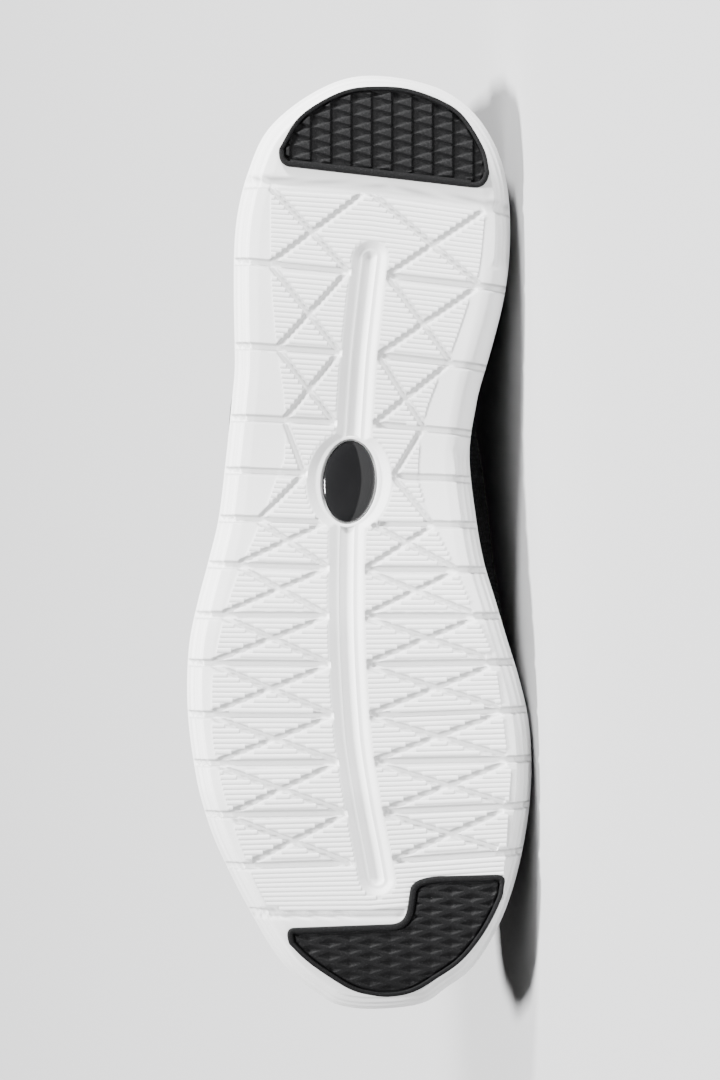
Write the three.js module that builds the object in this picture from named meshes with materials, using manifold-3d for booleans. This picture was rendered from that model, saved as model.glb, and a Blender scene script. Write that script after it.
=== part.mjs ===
// Left dance sneaker, resting on the big-toe side of its sole and upper.
// Millimetres. The shoe is first built standing: x runs from heel to toe, y towards the
// little-toe (lateral) side and z up from the floor. The last group lays it on its side.
import * as THREE from "three";
import { mergeVertices } from "three/addons/utils/BufferGeometryUtils.js";
import { ConvexHull } from "three/addons/math/ConvexHull.js";
import Module from "manifold-3d";

const wasm = await Module();
wasm.setup();

// Sole, outside
const soleLength = 264;
const soleWidth = 97;
const heelFoam = 20;
const waistFoam = 15;
const ballFoam = 11;
const toeFoam = 10;
const archRise = 4;
const toeSpring = 9;
const edgeBand = 7.1;
const rimHeight = 9.5;
const cupDepth = 5;
const cupWall = 3.2;
const cupDraft = 0.6;

// Grooves and the long channel under the sole
const grooveWidth = 2.2;
const grooveDepth = 1.1;
const heelGrooveWidth = 3.4;
const channelWidth = 10.4;
const channelDepth = 1.2;
const channelBevel = 2.1;
const beadWidth = 4;
const beadDepth = 0.9;
const ringMargin = 4.6;

// Rubber pads and badge
const padProud = 1.2;
const padSeat = 1.6;
const padRim = 1.8;
const treadDepth = 0.8;
const badgeLength = 23;
const badgeWidth = 14.6;
const badgeDome = 1.4;
const badgeBody = 1.2;
const badgeSeat = 1.6;

// Upper and what it holds
const upperWall = 2;
const heelTop = 74;
const ankleTop = 61;
const throatTop = 90;
const ridgeTop = 110;
const toeBoxTop = 43;
const heelLean = 6;
const throatWidth = 26;
const throatStart = 0.345;
const throatEnd = 0.665;
const throatTopShare = 0.37;
const throatTaper = 0.72;
const heelLeanEnd = 0.3;
const collarPadding = 3;
const collarPadHeight = 24;
const collarPadEnd = [0.26, 0.345];
const crownRise = 2;
const bulgeStart = [0.6, 0.45];
const tongueWidth = 37;
const tongueRoot = 34;
const tongueOverlap = 0.045;
const tongueRise = 17;
const tongueThickness = 3.5;
const tongueGap = 1.4;
const insoleThickness = 4;
const eyestayWidth = 15;
const eyestayThickness = 1.1;
const eyestayDrop = 22;
const eyestaySetback = 0.8;
const collarMargin = 2.5;
const laceWidth = 6;
const laceThickness = 1.3;
const laceReach = 5;
const laceGap = 1.3;
const laceCrossings = 4;
const laceToThroatEnd = 0.045;
const laceToCollar = 0.075;
const fit = 0.3;

// Outline of the sole seen from below: half widths from the line between heel and toe.
// Columns: share of soleLength, lateral and medial shares of soleWidth.
const outlineRows = [
  [0.013, 0.138, 0.196],
  [0.051, 0.280, 0.326],
  [0.102, 0.353, 0.390],
  [0.153, 0.387, 0.407],
  [0.229, 0.396, 0.394],
  [0.305, 0.393, 0.343],
  [0.348, 0.402, 0.311],
  [0.411, 0.420, 0.290],
  [0.474, 0.441, 0.309],
  [0.519, 0.470, 0.331],
  [0.560, 0.499, 0.364],
  [0.602, 0.523, 0.398],
  [0.644, 0.531, 0.433],
  [0.686, 0.528, 0.459],
  [0.731, 0.513, 0.469],
  [0.773, 0.490, 0.465],
  [0.814, 0.454, 0.450],
  [0.856, 0.401, 0.425],
  [0.898, 0.341, 0.387],
  [0.932, 0.288, 0.340],
  [0.958, 0.234, 0.289],
  [0.981, 0.158, 0.207],
  [0.9965, 0.083, 0.122],
];

// Underside and foam over it. Columns: share of soleLength, height of the foam's underside in
// shares of padProud, archRise and toeSpring, then foam in shares of heelFoam, waistFoam,
// ballFoam and toeFoam.
const profileRows = [
  [0.000, 1.6, 0.0, 0.00, 1.00, 0.00, 0.00, 0.00],
  [0.050, 1.0, 0.0, 0.00, 1.00, 0.00, 0.00, 0.00],
  [0.200, 1.0, 0.0, 0.00, 1.00, 0.00, 0.00, 0.00],
  [0.300, 1.0, 0.2, 0.00, 0.60, 0.45, 0.00, 0.00],
  [0.420, 0.0, 1.0, 0.00, 0.00, 1.00, 0.00, 0.00],
  [0.520, 0.0, 0.5, 0.00, 0.00, 0.55, 0.50, 0.00],
  [0.600, 0.0, 0.0, 0.00, 0.00, 0.00, 1.00, 0.00],
  [0.760, 0.0, 0.0, 0.00, 0.00, 0.00, 1.00, 0.00],
  [0.800, 0.5, 0.0, 0.02, 0.00, 0.00, 0.60, 0.40],
  [0.853, 1.0, 0.0, 0.07, 0.00, 0.00, 0.10, 0.90],
  [0.900, 1.0, 0.0, 0.22, 0.00, 0.00, 0.00, 1.00],
  [0.950, 1.0, 0.0, 0.50, 0.00, 0.00, 0.00, 1.00],
  [1.000, 1.0, 0.0, 1.00, 0.00, 0.00, 0.00, 1.00],
];

// Steps of the sole's side, from the field outwards.
// Columns: inset from the outline in shares of edgeBand, rise in shares of rimHeight.
const stepRows = [
  [1.00, 0.00],
  [0.56, 0.07],
  [0.52, 0.30],
  [0.30, 0.36],
  [0.26, 0.62],
  [0.14, 0.67],
  [0.10, 0.92],
  [0.00, 1.00],
];

// Rows of stepRows that the foot of a groove follows as it climbs, from the rim down.
const grooveSteps = [6, 4, 2];

// Upper over the sole. Columns: share of soleLength, ridge in shares of ridgeTop, throatTop and
// toeBoxTop, height of the fullest line over the cup in shares of ankleTop, bulge past the
// cup on the lateral and medial sides in shares of soleWidth, lean of the ridge to the medial
// side in shares of soleWidth, roundness.
const upperRows = [
  [0.000, 1.00, 0.00, 0.00, 0.18, 0.000, 0.000, 0.000, 1.50],
  [0.150, 1.00, 0.00, 0.00, 0.16, 0.000, 0.000, 0.000, 1.50],
  [0.260, 1.00, 0.00, 0.00, 0.18, 0.020, 0.005, 0.005, 1.55],
  [0.350, 0.60, 0.42, 0.00, 0.22, 0.046, 0.030, 0.015, 1.80],
  [0.410, 0.00, 0.98, 0.00, 0.24, 0.036, 0.076, 0.020, 2.00],
  [0.470, 0.00, 0.86, 0.00, 0.22, 0.012, 0.080, 0.025, 2.00],
  [0.560, 0.00, 0.73, 0.00, 0.18, -0.008, 0.054, 0.030, 2.00],
  [0.650, 0.00, 0.60, 0.06, 0.14, -0.012, 0.010, 0.030, 2.05],
  [0.740, 0.00, 0.28, 0.62, 0.11, -0.006, -0.004, 0.025, 2.15],
  [0.830, 0.00, 0.06, 0.98, 0.10, 0.000, 0.000, 0.020, 2.25],
  [0.900, 0.00, 0.00, 1.00, 0.09, 0.000, 0.000, 0.010, 2.30],
  [0.960, 0.00, 0.00, 0.93, 0.08, 0.000, 0.000, 0.000, 2.30],
  [0.985, 0.00, 0.00, 0.84, 0.06, 0.000, 0.000, 0.000, 2.30],
  [1.000, 0.00, 0.00, 0.70, 0.03, 0.000, 0.000, 0.000, 2.30],
];

// Collar seen from the side. Columns: share of soleLength, height in shares of heelTop,
// ankleTop and throatTop.
const collarRows = [
  [-0.060, 1.05, 0.00, 0.00],
  [0.010, 1.03, 0.00, 0.00],
  [0.060, 0.97, 0.00, 0.00],
  [0.120, 0.40, 0.62, 0.00],
  [0.200, 0.00, 1.00, 0.00],
  [0.270, 0.00, 1.04, 0.00],
  [0.330, 0.00, 0.40, 0.56],
  [0.375, 0.00, 0.00, 0.94],
  [0.410, 0.00, 0.00, 1.08],
];

// Tip of the tongue. Columns: share of tongueRise, share of tongueWidth.
const tongueTipRows = [
  [0.40, 0.96],
  [0.72, 0.86],
  [0.91, 0.68],
  [1.00, 0.46],
];

// Cross grooves. Columns: inner end and outer end, each as a share of soleLength along and of
// soleWidth across, positive towards the lateral side. Inner ends run into the channel.
const lateralGrooves = [
  [0.213, 0.050, 0.199, 0.400],
  [0.298, 0.090, 0.290, 0.400],
  [0.373, 0.100, 0.366, 0.410],
  [0.427, 0.190, 0.422, 0.440],
  [0.478, 0.150, 0.473, 0.470],
  [0.527, 0.130, 0.522, 0.510],
  [0.578, 0.130, 0.576, 0.540],
  [0.629, 0.130, 0.627, 0.550],
  [0.683, 0.115, 0.682, 0.550],
  [0.732, 0.100, 0.734, 0.540],
  [0.786, 0.090, 0.789, 0.510],
  [0.840, 0.055, 0.845, 0.450],
  [0.892, -0.095, 0.893, 0.390],
];
const medialGrooves = [
  [0.214, -0.050, 0.230, -0.430],
  [0.301, -0.020, 0.314, -0.370],
  [0.373, -0.004, 0.383, -0.330],
  [0.429, -0.080, 0.431, -0.310],
  [0.479, -0.030, 0.480, -0.330],
  [0.528, 0.018, 0.528, -0.350],
  [0.576, 0.022, 0.576, -0.390],
  [0.629, 0.004, 0.625, -0.440],
  [0.682, 0.004, 0.676, -0.470],
  [0.731, -0.008, 0.728, -0.480],
  [0.784, -0.034, 0.778, -0.480],
  [0.837, -0.066, 0.827, -0.460],
];
const heelGroove = [0.115, 0.430, 0.147, -0.450];

// Middle of the channel. Columns: share of soleLength, share of soleWidth to the lateral side.
const channelRows = [
  [0.186, -0.003],
  [0.242, 0.015],
  [0.308, 0.034],
  [0.420, 0.055],
  [0.486, 0.066],
  [0.560, 0.069],
  [0.697, 0.053],
  [0.773, 0.023],
  [0.828, -0.007],
  [0.860, -0.022],
];
const badgeAlong = 0.434;
const badgeAcross = 0.061;
const badgeTurn = 0.07;

// Round side of each pad. Columns: share of soleLength, share of soleWidth.
const heelPadArc = [
  [0.0810, 0.263],
  [0.0508, 0.213],
  [0.0318, 0.147],
  [0.0182, 0.066],
  [0.0148, -0.014],
  [0.0170, -0.107],
  [0.0295, -0.205],
  [0.0466, -0.271],
  [0.0807, -0.329],
  [0.1060, -0.345],
];
const toePadArc = [
  [0.8620, -0.389],
  [0.8790, -0.378],
  [0.9130, -0.332],
  [0.9430, -0.268],
  [0.9630, -0.196],
  [0.9780, -0.127],
  [0.9833, -0.058],
  [0.9810, 0.006],
  [0.9746, 0.061],
  [0.9587, 0.130],
  [0.9428, 0.188],
  [0.9257, 0.234],
];

// The rest of each pad's outline: a rounded corner and its end, or one point for a straight run.
const heelPadCorners = [
  [[0.1250, -0.338], [0.1220, -0.290]],
  [[0.1000, 0.235]],
  [[0.0970, 0.268], heelPadArc[0]],
];
const toePadCorners = [
  [[0.9080, 0.252], [0.9082, 0.215]],
  [[0.9045, -0.060]],
  [[0.9040, -0.100], [0.8890, -0.107]],
  [[0.8680, -0.115]],
  [[0.8545, -0.121], [0.8530, -0.200]],
  [[0.8515, -0.355]],
  [[0.8505, -0.398], toePadArc[0]],
];

// Stretch of the sole that holds each pad, in shares of soleLength.
const heelPadReach = [0, 0.16];
const toePadReach = [0.82, 1];

// Reading the tables. A column runs level through its highs, lows and flats.

function smoothColumn(rows, column, at) {
  const last = rows.length - 1;
  if (at <= rows[0][0]) return rows[0][column];
  if (at >= rows[last][0]) return rows[last][column];
  let row = 0;
  while (rows[row + 1][0] < at) row += 1;
  const slope = (index) => {
    const here = rows[index];
    const before = rows[Math.max(0, index - 1)];
    const after = rows[Math.min(last, index + 1)];
    const turns = (here[column] - before[column]) * (after[column] - here[column]) <= 0;
    return turns && index > 0 && index < last ? 0 : (after[column] - before[column]) / (after[0] - before[0]);
  };
  const span = rows[row + 1][0] - rows[row][0];
  const s = (at - rows[row][0]) / span;
  const start = rows[row][column];
  const end = rows[row + 1][column];
  return (
    start * (2 * s ** 3 - 3 * s ** 2 + 1) +
    end * (3 * s ** 2 - 2 * s ** 3) +
    slope(row) * span * (s ** 3 - 2 * s ** 2 + s) +
    slope(row + 1) * span * (s ** 3 - s ** 2)
  );
}

function mix(rows, at, sizes) {
  return sizes.reduce((sum, size, index) => sum + size * smoothColumn(rows, index + 1, at), 0);
}

// A table of shares of several sizes as one smooth line of lengths.
function mixedLine(rows, sizes) {
  return rows.map(([at, ...shares]) => [at, sizes.reduce((sum, size, index) => sum + size * shares[index], 0)]);
}

const mixNumber = (from, to, share) => from + (to - from) * share;
const ramp = (value, from, to) => THREE.MathUtils.smoothstep(value, from, to);

// Half widths are divided by an ellipse's, so that both ends of the outline stay round.
const roundShare = (share) => Math.sqrt(Math.max(0, 4 * share * (1 - share)));
const widthRows = outlineRows.map(([share, lateral, medial]) => {
  return [Math.acos(1 - 2 * share), lateral / roundShare(share), medial / roundShare(share)];
});

function outlinePoint(share, side) {
  const angle = Math.acos(1 - 2 * share);
  const column = side > 0 ? 1 : 2;
  const half = soleWidth * roundShare(share) * smoothColumn(widthRows, column, angle);
  return new THREE.Vector2(share * soleLength, side * half);
}

// A closed loop of outline points: heel, lateral side, toe, medial side.
const stations = 38;
const stationShare = (index) => (1 - Math.cos((Math.PI * index) / stations)) / 2;

function outlineLoop(inset) {
  const loop = [];
  for (let index = 0; index <= stations; index += 1) loop.push(outlinePoint(stationShare(index), 1));
  for (let index = stations - 1; index > 0; index -= 1) loop.push(outlinePoint(stationShare(index), -1));
  return insetLoop(loop, inset);
}

// Moves each point of a loop inwards. The loops here run clockwise seen from above.
function insetLoop(loop, inset) {
  return loop.map((point, index) => {
    const before = loop[(index + loop.length - 1) % loop.length];
    const after = loop[(index + 1) % loop.length];
    const along = after.clone().sub(before).normalize();
    return new THREE.Vector2(point.x + along.y * inset, point.y - along.x * inset);
  });
}

function underside(x) {
  return mix(profileRows, x / soleLength, [padProud, archRise, toeSpring]);
}

function footbed(x) {
  const at = x / soleLength;
  const foam = [heelFoam, waistFoam, ballFoam, toeFoam];
  return underside(x) + foam.reduce((sum, size, index) => sum + size * smoothColumn(profileRows, index + 4, at), 0);
}

const cupTop = (x) => footbed(x) + cupDepth;

// Solids. Cutters start this far outside the face that they cut.
const below = 3;

function toSolid(geometry) {
  const bare = geometry.index ? geometry.clone() : geometry;
  bare.deleteAttribute("normal");
  bare.deleteAttribute("uv");
  const merged = mergeVertices(bare, 1e-5);
  return new wasm.Manifold(
    new wasm.Mesh({
      numProp: 3,
      vertProperties: merged.attributes.position.array,
      triVerts: new Uint32Array(merged.index.array),
    }),
  );
}

function toGeometry(solid) {
  const { vertProperties, triVerts } = solid.getMesh();
  const geometry = new THREE.BufferGeometry();
  geometry.setAttribute("position", new THREE.BufferAttribute(vertProperties, 3));
  geometry.setIndex(new THREE.BufferAttribute(triVerts, 1));
  return geometry;
}

// A closed body from rows of points. Each row is a loop, the first and last rows are closed by
// a ladder that joins the two halves of the loop.
function loopBody(rows) {
  const count = rows[0].length;
  const half = count / 2;
  const positions = rows.flat().flatMap((point) => [point.x, point.y, point.z]);
  const faces = [];
  for (let row = 0; row + 1 < rows.length; row += 1) {
    for (let index = 0; index < count; index += 1) {
      const a = row * count + index;
      const b = row * count + ((index + 1) % count);
      faces.push(a, b, b + count, a, b + count, a + count);
    }
  }
  const ladder = (row, flip) => {
    const start = row * count;
    for (let index = 0; index < half; index += 1) {
      const a = start + index;
      const b = start + index + 1;
      const c = start + ((count - index) % count);
      const d = start + count - index - 1;
      const pair = index === 0 ? [[a, b, d]] : index === half - 1 ? [[a, b, c]] : [[a, b, d], [a, d, c]];
      for (const face of pair) faces.push(...(flip ? face.reverse() : face));
    }
  };
  ladder(0, true);
  ladder(rows.length - 1, false);
  const geometry = new THREE.BufferGeometry();
  geometry.setAttribute("position", new THREE.Float32BufferAttribute(positions, 3));
  geometry.setIndex(faces);
  const solid = toSolid(geometry);
  return solid.volume() > 0 ? solid : toSolid(turnedOver(geometry));
}

function turnedOver(geometry) {
  const flipped = geometry.clone();
  const order = flipped.index.array;
  for (let index = 0; index < order.length; index += 3) {
    const kept = order[index];
    order[index] = order[index + 1];
    order[index + 1] = kept;
  }
  return flipped;
}

function raised(loop, height) {
  return loop.map((point) => new THREE.Vector3(point.x, point.y, height(point.x)));
}

// An upright wall of a plan outline between two levels.
function upright(outline, low, high) {
  const shape = new THREE.Shape(outline);
  const geometry = new THREE.ExtrudeGeometry(shape, { depth: high - low, bevelEnabled: false });
  geometry.translate(0, 0, low);
  return toSolid(geometry);
}

// A layer that follows the underside over a stretch of the sole, between two offsets from it.
function undersideLayer(fromShare, toShare, low, high) {
  const steps = 8;
  const lower = [];
  const upper = [];
  for (let step = 0; step <= steps; step += 1) {
    const x = soleLength * (fromShare + ((toShare - fromShare) * step) / steps);
    lower.push(new THREE.Vector2(x, underside(x) + low));
    upper.unshift(new THREE.Vector2(x, underside(x) + high));
  }
  return acrossBody([...lower, ...upper], 2 * soleWidth);
}

// A side profile, x along and y up, pushed out across the whole width of the shoe.
function acrossBody(profile, width) {
  const geometry = new THREE.ExtrudeGeometry(new THREE.Shape(profile), { depth: width, bevelEnabled: false });
  geometry.rotateX(Math.PI / 2);
  geometry.translate(0, width / 2, 0);
  return toSolid(geometry);
}

// Sole

function soleBody() {
  const rows = stepRows.map(([inset, rise]) => {
    return raised(outlineLoop(inset * edgeBand), (x) => underside(x) + rise * rimHeight);
  });
  rows.push(raised(outlineLoop(cupDraft), cupTop));
  rows.push(raised(outlineLoop(cupWall), cupTop));
  rows.push(raised(outlineLoop(cupWall), footbed));
  return loopBody(rows);
}

function channelMiddle(share) {
  return soleWidth * smoothColumn(channelRows, 1, share);
}

// The channel: sloped sides down to a ledge, or the round groove inside the ledge.
function channelCut(mouthWidth, floorWidth, depth, endTrim) {
  const first = channelRows[0][0] * soleLength + endTrim;
  const last = channelRows[channelRows.length - 1][0] * soleLength - endTrim;
  const steps = 20;
  const slope = (mouthWidth - floorWidth) / 2 / depth;
  const section = (width, level) => {
    const loop = [];
    for (let step = 0; step <= steps; step += 1) {
      const x = first - width / 2 + ((last - first + width) * (1 - Math.cos((Math.PI * step) / steps))) / 2;
      loop.push(new THREE.Vector3(x, channelMiddle(x / soleLength) + channelHalf(x, first, last, width), level(x)));
    }
    for (let step = steps - 1; step > 0; step -= 1) {
      const x = loop[step].x;
      loop.push(new THREE.Vector3(x, channelMiddle(x / soleLength) - channelHalf(x, first, last, width), level(x)));
    }
    return loop;
  };
  return loopBody([
    section(mouthWidth + 2 * slope * below, (x) => underside(x) - below),
    section(floorWidth, (x) => underside(x) + depth),
  ]);
}

// Half the width of a slot with round ends.
function channelHalf(x, first, last, width) {
  const past = Math.max(0, first - x, x - last);
  return Math.sqrt(Math.max(0, (width / 2) ** 2 - past ** 2));
}

function ovalLoop(length, width) {
  const points = [];
  const count = 24;
  const centre = new THREE.Vector2(badgeAlong * soleLength, badgeAcross * soleWidth);
  for (let index = 0; index < count; index += 1) {
    const angle = (-2 * Math.PI * index) / count;
    const point = new THREE.Vector2((Math.cos(angle) * length) / 2, (Math.sin(angle) * width) / 2);
    points.push(point.add(centre).rotateAround(centre, badgeTurn));
  }
  return points;
}

function ovalCut(length, width, bevel, depth) {
  const wide = (bevel * (below + depth)) / depth;
  const mouth = ovalLoop(length + 2 * wide, width + 2 * wide);
  const floor = ovalLoop(length, width);
  return loopBody([
    raised(mouth, (x) => underside(x) - below),
    raised(floor, (x) => underside(x) + depth),
  ]);
}

// A cross groove follows the underside and then climbs the steps of the side up to the rim.
function grooveCut([alongA, acrossA, alongB, acrossB], width) {
  const start = new THREE.Vector2(alongA * soleLength, acrossA * soleWidth);
  const end = new THREE.Vector2(alongB * soleLength, acrossB * soleWidth);
  const along = end.clone().sub(start).normalize();
  const side = Math.sign(acrossB);
  const edge = Math.abs(outlinePoint(alongB, side).y);
  const reach = (edge - side * start.y) / Math.abs(along.y);
  const floor = underside(end.x);
  const depth = grooveDepth;
  const climb = grooveSteps.map((row) => {
    const [inset, rise] = stepRows[row];
    return [reach - inset * edgeBand - depth, floor + rise * rimHeight];
  });
  const profile = [
    [-width / 2, floor - below],
    [reach + below, floor - below],
    [reach + below, climb[0][1]],
    ...climb,
    [reach - edgeBand, floor + depth],
    [-width / 2, floor + depth],
  ].map(([x, y]) => new THREE.Vector2(x, y));
  const geometry = new THREE.ExtrudeGeometry(new THREE.Shape(profile), { depth: width, bevelEnabled: false });
  geometry.translate(0, 0, -width / 2);
  geometry.rotateX(Math.PI / 2);
  geometry.rotateZ(Math.atan2(along.y, along.x));
  geometry.translate(start.x, start.y, 0);
  return toSolid(geometry);
}

function heelGrooveCuts() {
  const [lateralAlong, lateralAcross, medialAlong, medialAcross] = heelGroove;
  const middle = [(lateralAlong + medialAlong) / 2, 0];
  return [
    grooveCut([...middle, lateralAlong, lateralAcross], heelGrooveWidth),
    grooveCut([...middle, medialAlong, medialAcross], heelGrooveWidth),
  ];
}

// Pads

const padPoint = ([along, across]) => new THREE.Vector2(along * soleLength, across * soleWidth);

// The outline of a pad: its round side, then straight runs and rounded corners back to the start.
function padLoop(arcRows, cornerRows, count) {
  const arc = arcRows.map(padPoint);
  const shape = new THREE.Shape();
  shape.moveTo(arc[0].x, arc[0].y);
  shape.splineThru(arc.slice(1));
  for (const row of cornerRows) {
    const [first, second] = row.map(padPoint);
    if (second) {
      shape.quadraticCurveTo(first.x, first.y, second.x, second.y);
    } else {
      shape.lineTo(first.x, first.y);
    }
  }
  const points = shape.getSpacedPoints(count);
  points.pop();
  return THREE.ShapeUtils.isClockWise(points) ? points : points.reverse();
}

const heelPadLoop = () => padLoop(heelPadArc, heelPadCorners, 44);
const toePadLoop = () => padLoop(toePadArc, toePadCorners, 60);

function padBody(loop, fromShare, toShare) {
  const body = padColumn(loop).intersect(undersideLayer(fromShare, toShare, -padProud, padSeat));
  const tread = padColumn(insetLoop(loop, padRim));
  return body.subtract(tread.intersect(undersideLayer(fromShare, toShare, -below, treadDepth - padProud)));
}

function padRecess(loop, fromShare, toShare) {
  const layer = undersideLayer(fromShare, toShare, -below, padSeat + fit);
  return padColumn(insetLoop(loop, -fit)).intersect(layer);
}

const padColumn = (loop) => upright(loop, -2 * below, heelFoam + toeSpring);

function badgeSolid() {
  const steps = 4;
  const profile = [new THREE.Vector2(0, badgeBody), new THREE.Vector2(1, badgeBody)];
  for (let step = 0; step < steps; step += 1) {
    const angle = (Math.PI / 2) * (step / steps);
    profile.push(new THREE.Vector2(Math.cos(angle), -badgeDome * Math.sin(angle)));
  }
  profile.push(new THREE.Vector2(0, -badgeDome));
  const geometry = new THREE.LatheGeometry(profile, 24);
  geometry.rotateX(Math.PI / 2);
  geometry.scale(badgeLength / 2, badgeWidth / 2, 1);
  geometry.rotateZ(badgeTurn);
  const x = badgeAlong * soleLength;
  const seat = underside(x) + channelDepth + badgeSeat - fit - badgeBody;
  geometry.translate(x, badgeAcross * soleWidth, seat);
  const solid = toSolid(geometry);
  return solid.volume() > 0 ? solid : toSolid(turnedOver(geometry));
}

// Upper

const archSteps = 7;

const ridgeLine = mixedLine(upperRows, [ridgeTop, throatTop, toeBoxTop]);
const ridge = (share) => smoothColumn(ridgeLine, 1, share);
const collarLine = mixedLine(collarRows, [heelTop, ankleTop, throatTop]);

function upperSection(share, inset, ring, index) {
  const lateral = ring[index];
  const medial = ring[(ring.length - index) % ring.length];
  const read = (column) => smoothColumn(upperRows, column, share);
  const crown = ridge(share) - inset;
  const rim = cupTop((lateral.x + medial.x) / 2);
  const full = Math.min(rim + ankleTop * read(4), crown - crownRise);
  const round = read(8);
  const lean = -soleWidth * read(7);
  const points = [];
  const sidePoints = (base, side, bulge) => {
    const edge = base.y;
    const belly = edge + side * bulge;
    const low = footbed(base.x) + fit;
    const list = [];
    list.push([edge, low]);
    list.push([edge, rim + fit]);
    list.push([mixNumber(edge, belly, bulgeStart[0]), mixNumber(rim, full, bulgeStart[1])]);
    for (let step = 0; step < archSteps; step += 1) {
      const angle = (Math.PI / 2) * (step / archSteps);
      const out = Math.cos(angle) ** (2 / round);
      const up = Math.sin(angle) ** (2 / round);
      list.push([belly * out + lean * up, full + (crown - full) * up]);
    }
    return list.map(([y, z]) => new THREE.Vector3(base.x, y, z));
  };
  points.push(...sidePoints(lateral, 1, soleWidth * read(5)));
  points.push(new THREE.Vector3((lateral.x + medial.x) / 2, lean, crown));
  points.push(...sidePoints(medial, -1, soleWidth * read(6)).reverse());
  return points.map((point) => leanHeel(padCollar(point, share, inset), share));
}

// The back of the heel leans over the foot above its fullest line.
function leanHeel(point, share) {
  const height = Math.max(0, point.z - heelTop / 2) / (heelTop / 2);
  const fade = Math.max(0, 1 - share / heelLeanEnd) ** 2;
  point.x += heelLean * height ** 2 * fade;
  return point;
}

// The inner face swells inwards below the collar and fades out before the throat.
function padCollar(point, share, inset) {
  const height = ramp(point.z, ankleTop - collarPadHeight, ankleTop);
  const swell = inset > 0 ? collarPadding * height * (1 - ramp(share, ...collarPadEnd)) : 0;
  point.y -= Math.sign(point.y) * Math.min(swell, Math.abs(point.y) / 2);
  point.x += swell * Math.max(0, 1 - share / 0.1);
  return point;
}

// The closed form of the upper at an inset from its outer face. Its foot can hang lower.
function lastBody(inset, drop) {
  const ring = outlineLoop(cupWall + fit + inset);
  const sections = [];
  for (let index = 0; index <= stations; index += 1) {
    const section = upperSection(stationShare(index), inset, ring, index);
    section[0].z -= drop;
    section[section.length - 1].z -= drop;
    sections.push(section);
  }
  return sectionBody(sections);
}

// A closed body from a run of open sections: its ends and its underside are closed flat.
function sectionBody(sections) {
  const count = sections[0].length;
  const positions = sections.flat().flatMap((point) => [point.x, point.y, point.z]);
  const faces = [];
  for (let row = 0; row + 1 < sections.length; row += 1) {
    for (let index = 0; index < count; index += 1) {
      const a = row * count + index;
      const b = row * count + ((index + 1) % count);
      faces.push(a, b, b + count, a, b + count, a + count);
    }
  }
  const closeEnd = (row, flip) => {
    const start = row * count;
    for (let index = 1; index + 1 < count; index += 1) {
      const face = [start, start + index, start + index + 1];
      faces.push(...(flip ? face.reverse() : face));
    }
  };
  closeEnd(0, true);
  closeEnd(sections.length - 1, false);
  const geometry = new THREE.BufferGeometry();
  geometry.setAttribute("position", new THREE.Float32BufferAttribute(positions, 3));
  geometry.setIndex(faces);
  const cleaned = withoutSlivers(geometry);
  const solid = toSolid(cleaned);
  return solid.volume() > 0 ? solid : toSolid(turnedOver(cleaned));
}

// Where a section shrinks to a line, its faces have no area and are left out.
function withoutSlivers(geometry) {
  const merged = mergeVertices(geometry, 1e-4);
  const order = merged.index.array;
  const kept = [];
  for (let index = 0; index < order.length; index += 3) {
    const face = [order[index], order[index + 1], order[index + 2]];
    if (face[0] !== face[1] && face[1] !== face[2] && face[2] !== face[0]) kept.push(...face);
  }
  merged.setIndex(kept);
  return merged;
}

function collarCut(lift) {
  const high = 2 * ridgeTop;
  const profile = [];
  const steps = 22;
  const first = collarRows[0][0];
  const last = collarRows[collarRows.length - 1][0];
  for (let step = 0; step <= steps; step += 1) {
    const share = first + ((last - first) * step) / steps;
    profile.push(new THREE.Vector2(share * soleLength, smoothColumn(collarLine, 1, share) + lift));
  }
  profile.push(new THREE.Vector2(last * soleLength, high));
  profile.push(new THREE.Vector2(first * soleLength, high));
  return acrossBody(profile, 2 * soleWidth);
}

function throatLoop(margin) {
  const start = throatStart * soleLength;
  const end = throatEnd * soleLength + margin;
  const wide = throatWidth / 2 + margin;
  const narrow = (throatWidth / 2) * throatTaper + margin;
  const middle = -soleWidth * smoothColumn(upperRows, 7, (throatStart + throatEnd) / 2);
  const shape = new THREE.Shape();
  shape.moveTo(start, middle + wide);
  shape.lineTo(end - narrow, middle + narrow);
  shape.absarc(end - narrow, middle, narrow, Math.PI / 2, -Math.PI / 2, true);
  shape.lineTo(start, middle - wide);
  return shape.getPoints(10);
}

function upperBody() {
  const outer = lastBody(0, 0);
  const inner = lastBody(upperWall, below);
  const throat = upright(throatLoop(0), toeBoxTop, 2 * ridgeTop);
  return outer.subtract(inner).subtract(collarCut(0)).subtract(throat);
}

// Everything more than a drop below the ridge, seen from the side.
function underRidge(drop) {
  const profile = [];
  const steps = 10;
  for (let step = 0; step <= steps; step += 1) {
    const share = throatStart - 0.03 + ((throatEnd + 0.12 - throatStart) * step) / steps;
    profile.push(new THREE.Vector2(share * soleLength, ridge(share) - drop));
  }
  profile.push(new THREE.Vector2(profile[steps].x, 0));
  profile.push(new THREE.Vector2(profile[0].x, 0));
  return acrossBody(profile, 2 * soleWidth);
}

function eyestayBody() {
  const layer = lastBody(-fit - eyestayThickness, 0).subtract(lastBody(-fit, below));
  const band = upright(throatLoop(eyestayWidth), toeBoxTop, 2 * ridgeTop);
  const throat = upright(throatLoop(eyestaySetback), toeBoxTop, 2 * ridgeTop);
  return layer.intersect(band).subtract(throat).subtract(collarCut(-collarMargin)).subtract(underRidge(eyestayDrop));
}

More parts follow.
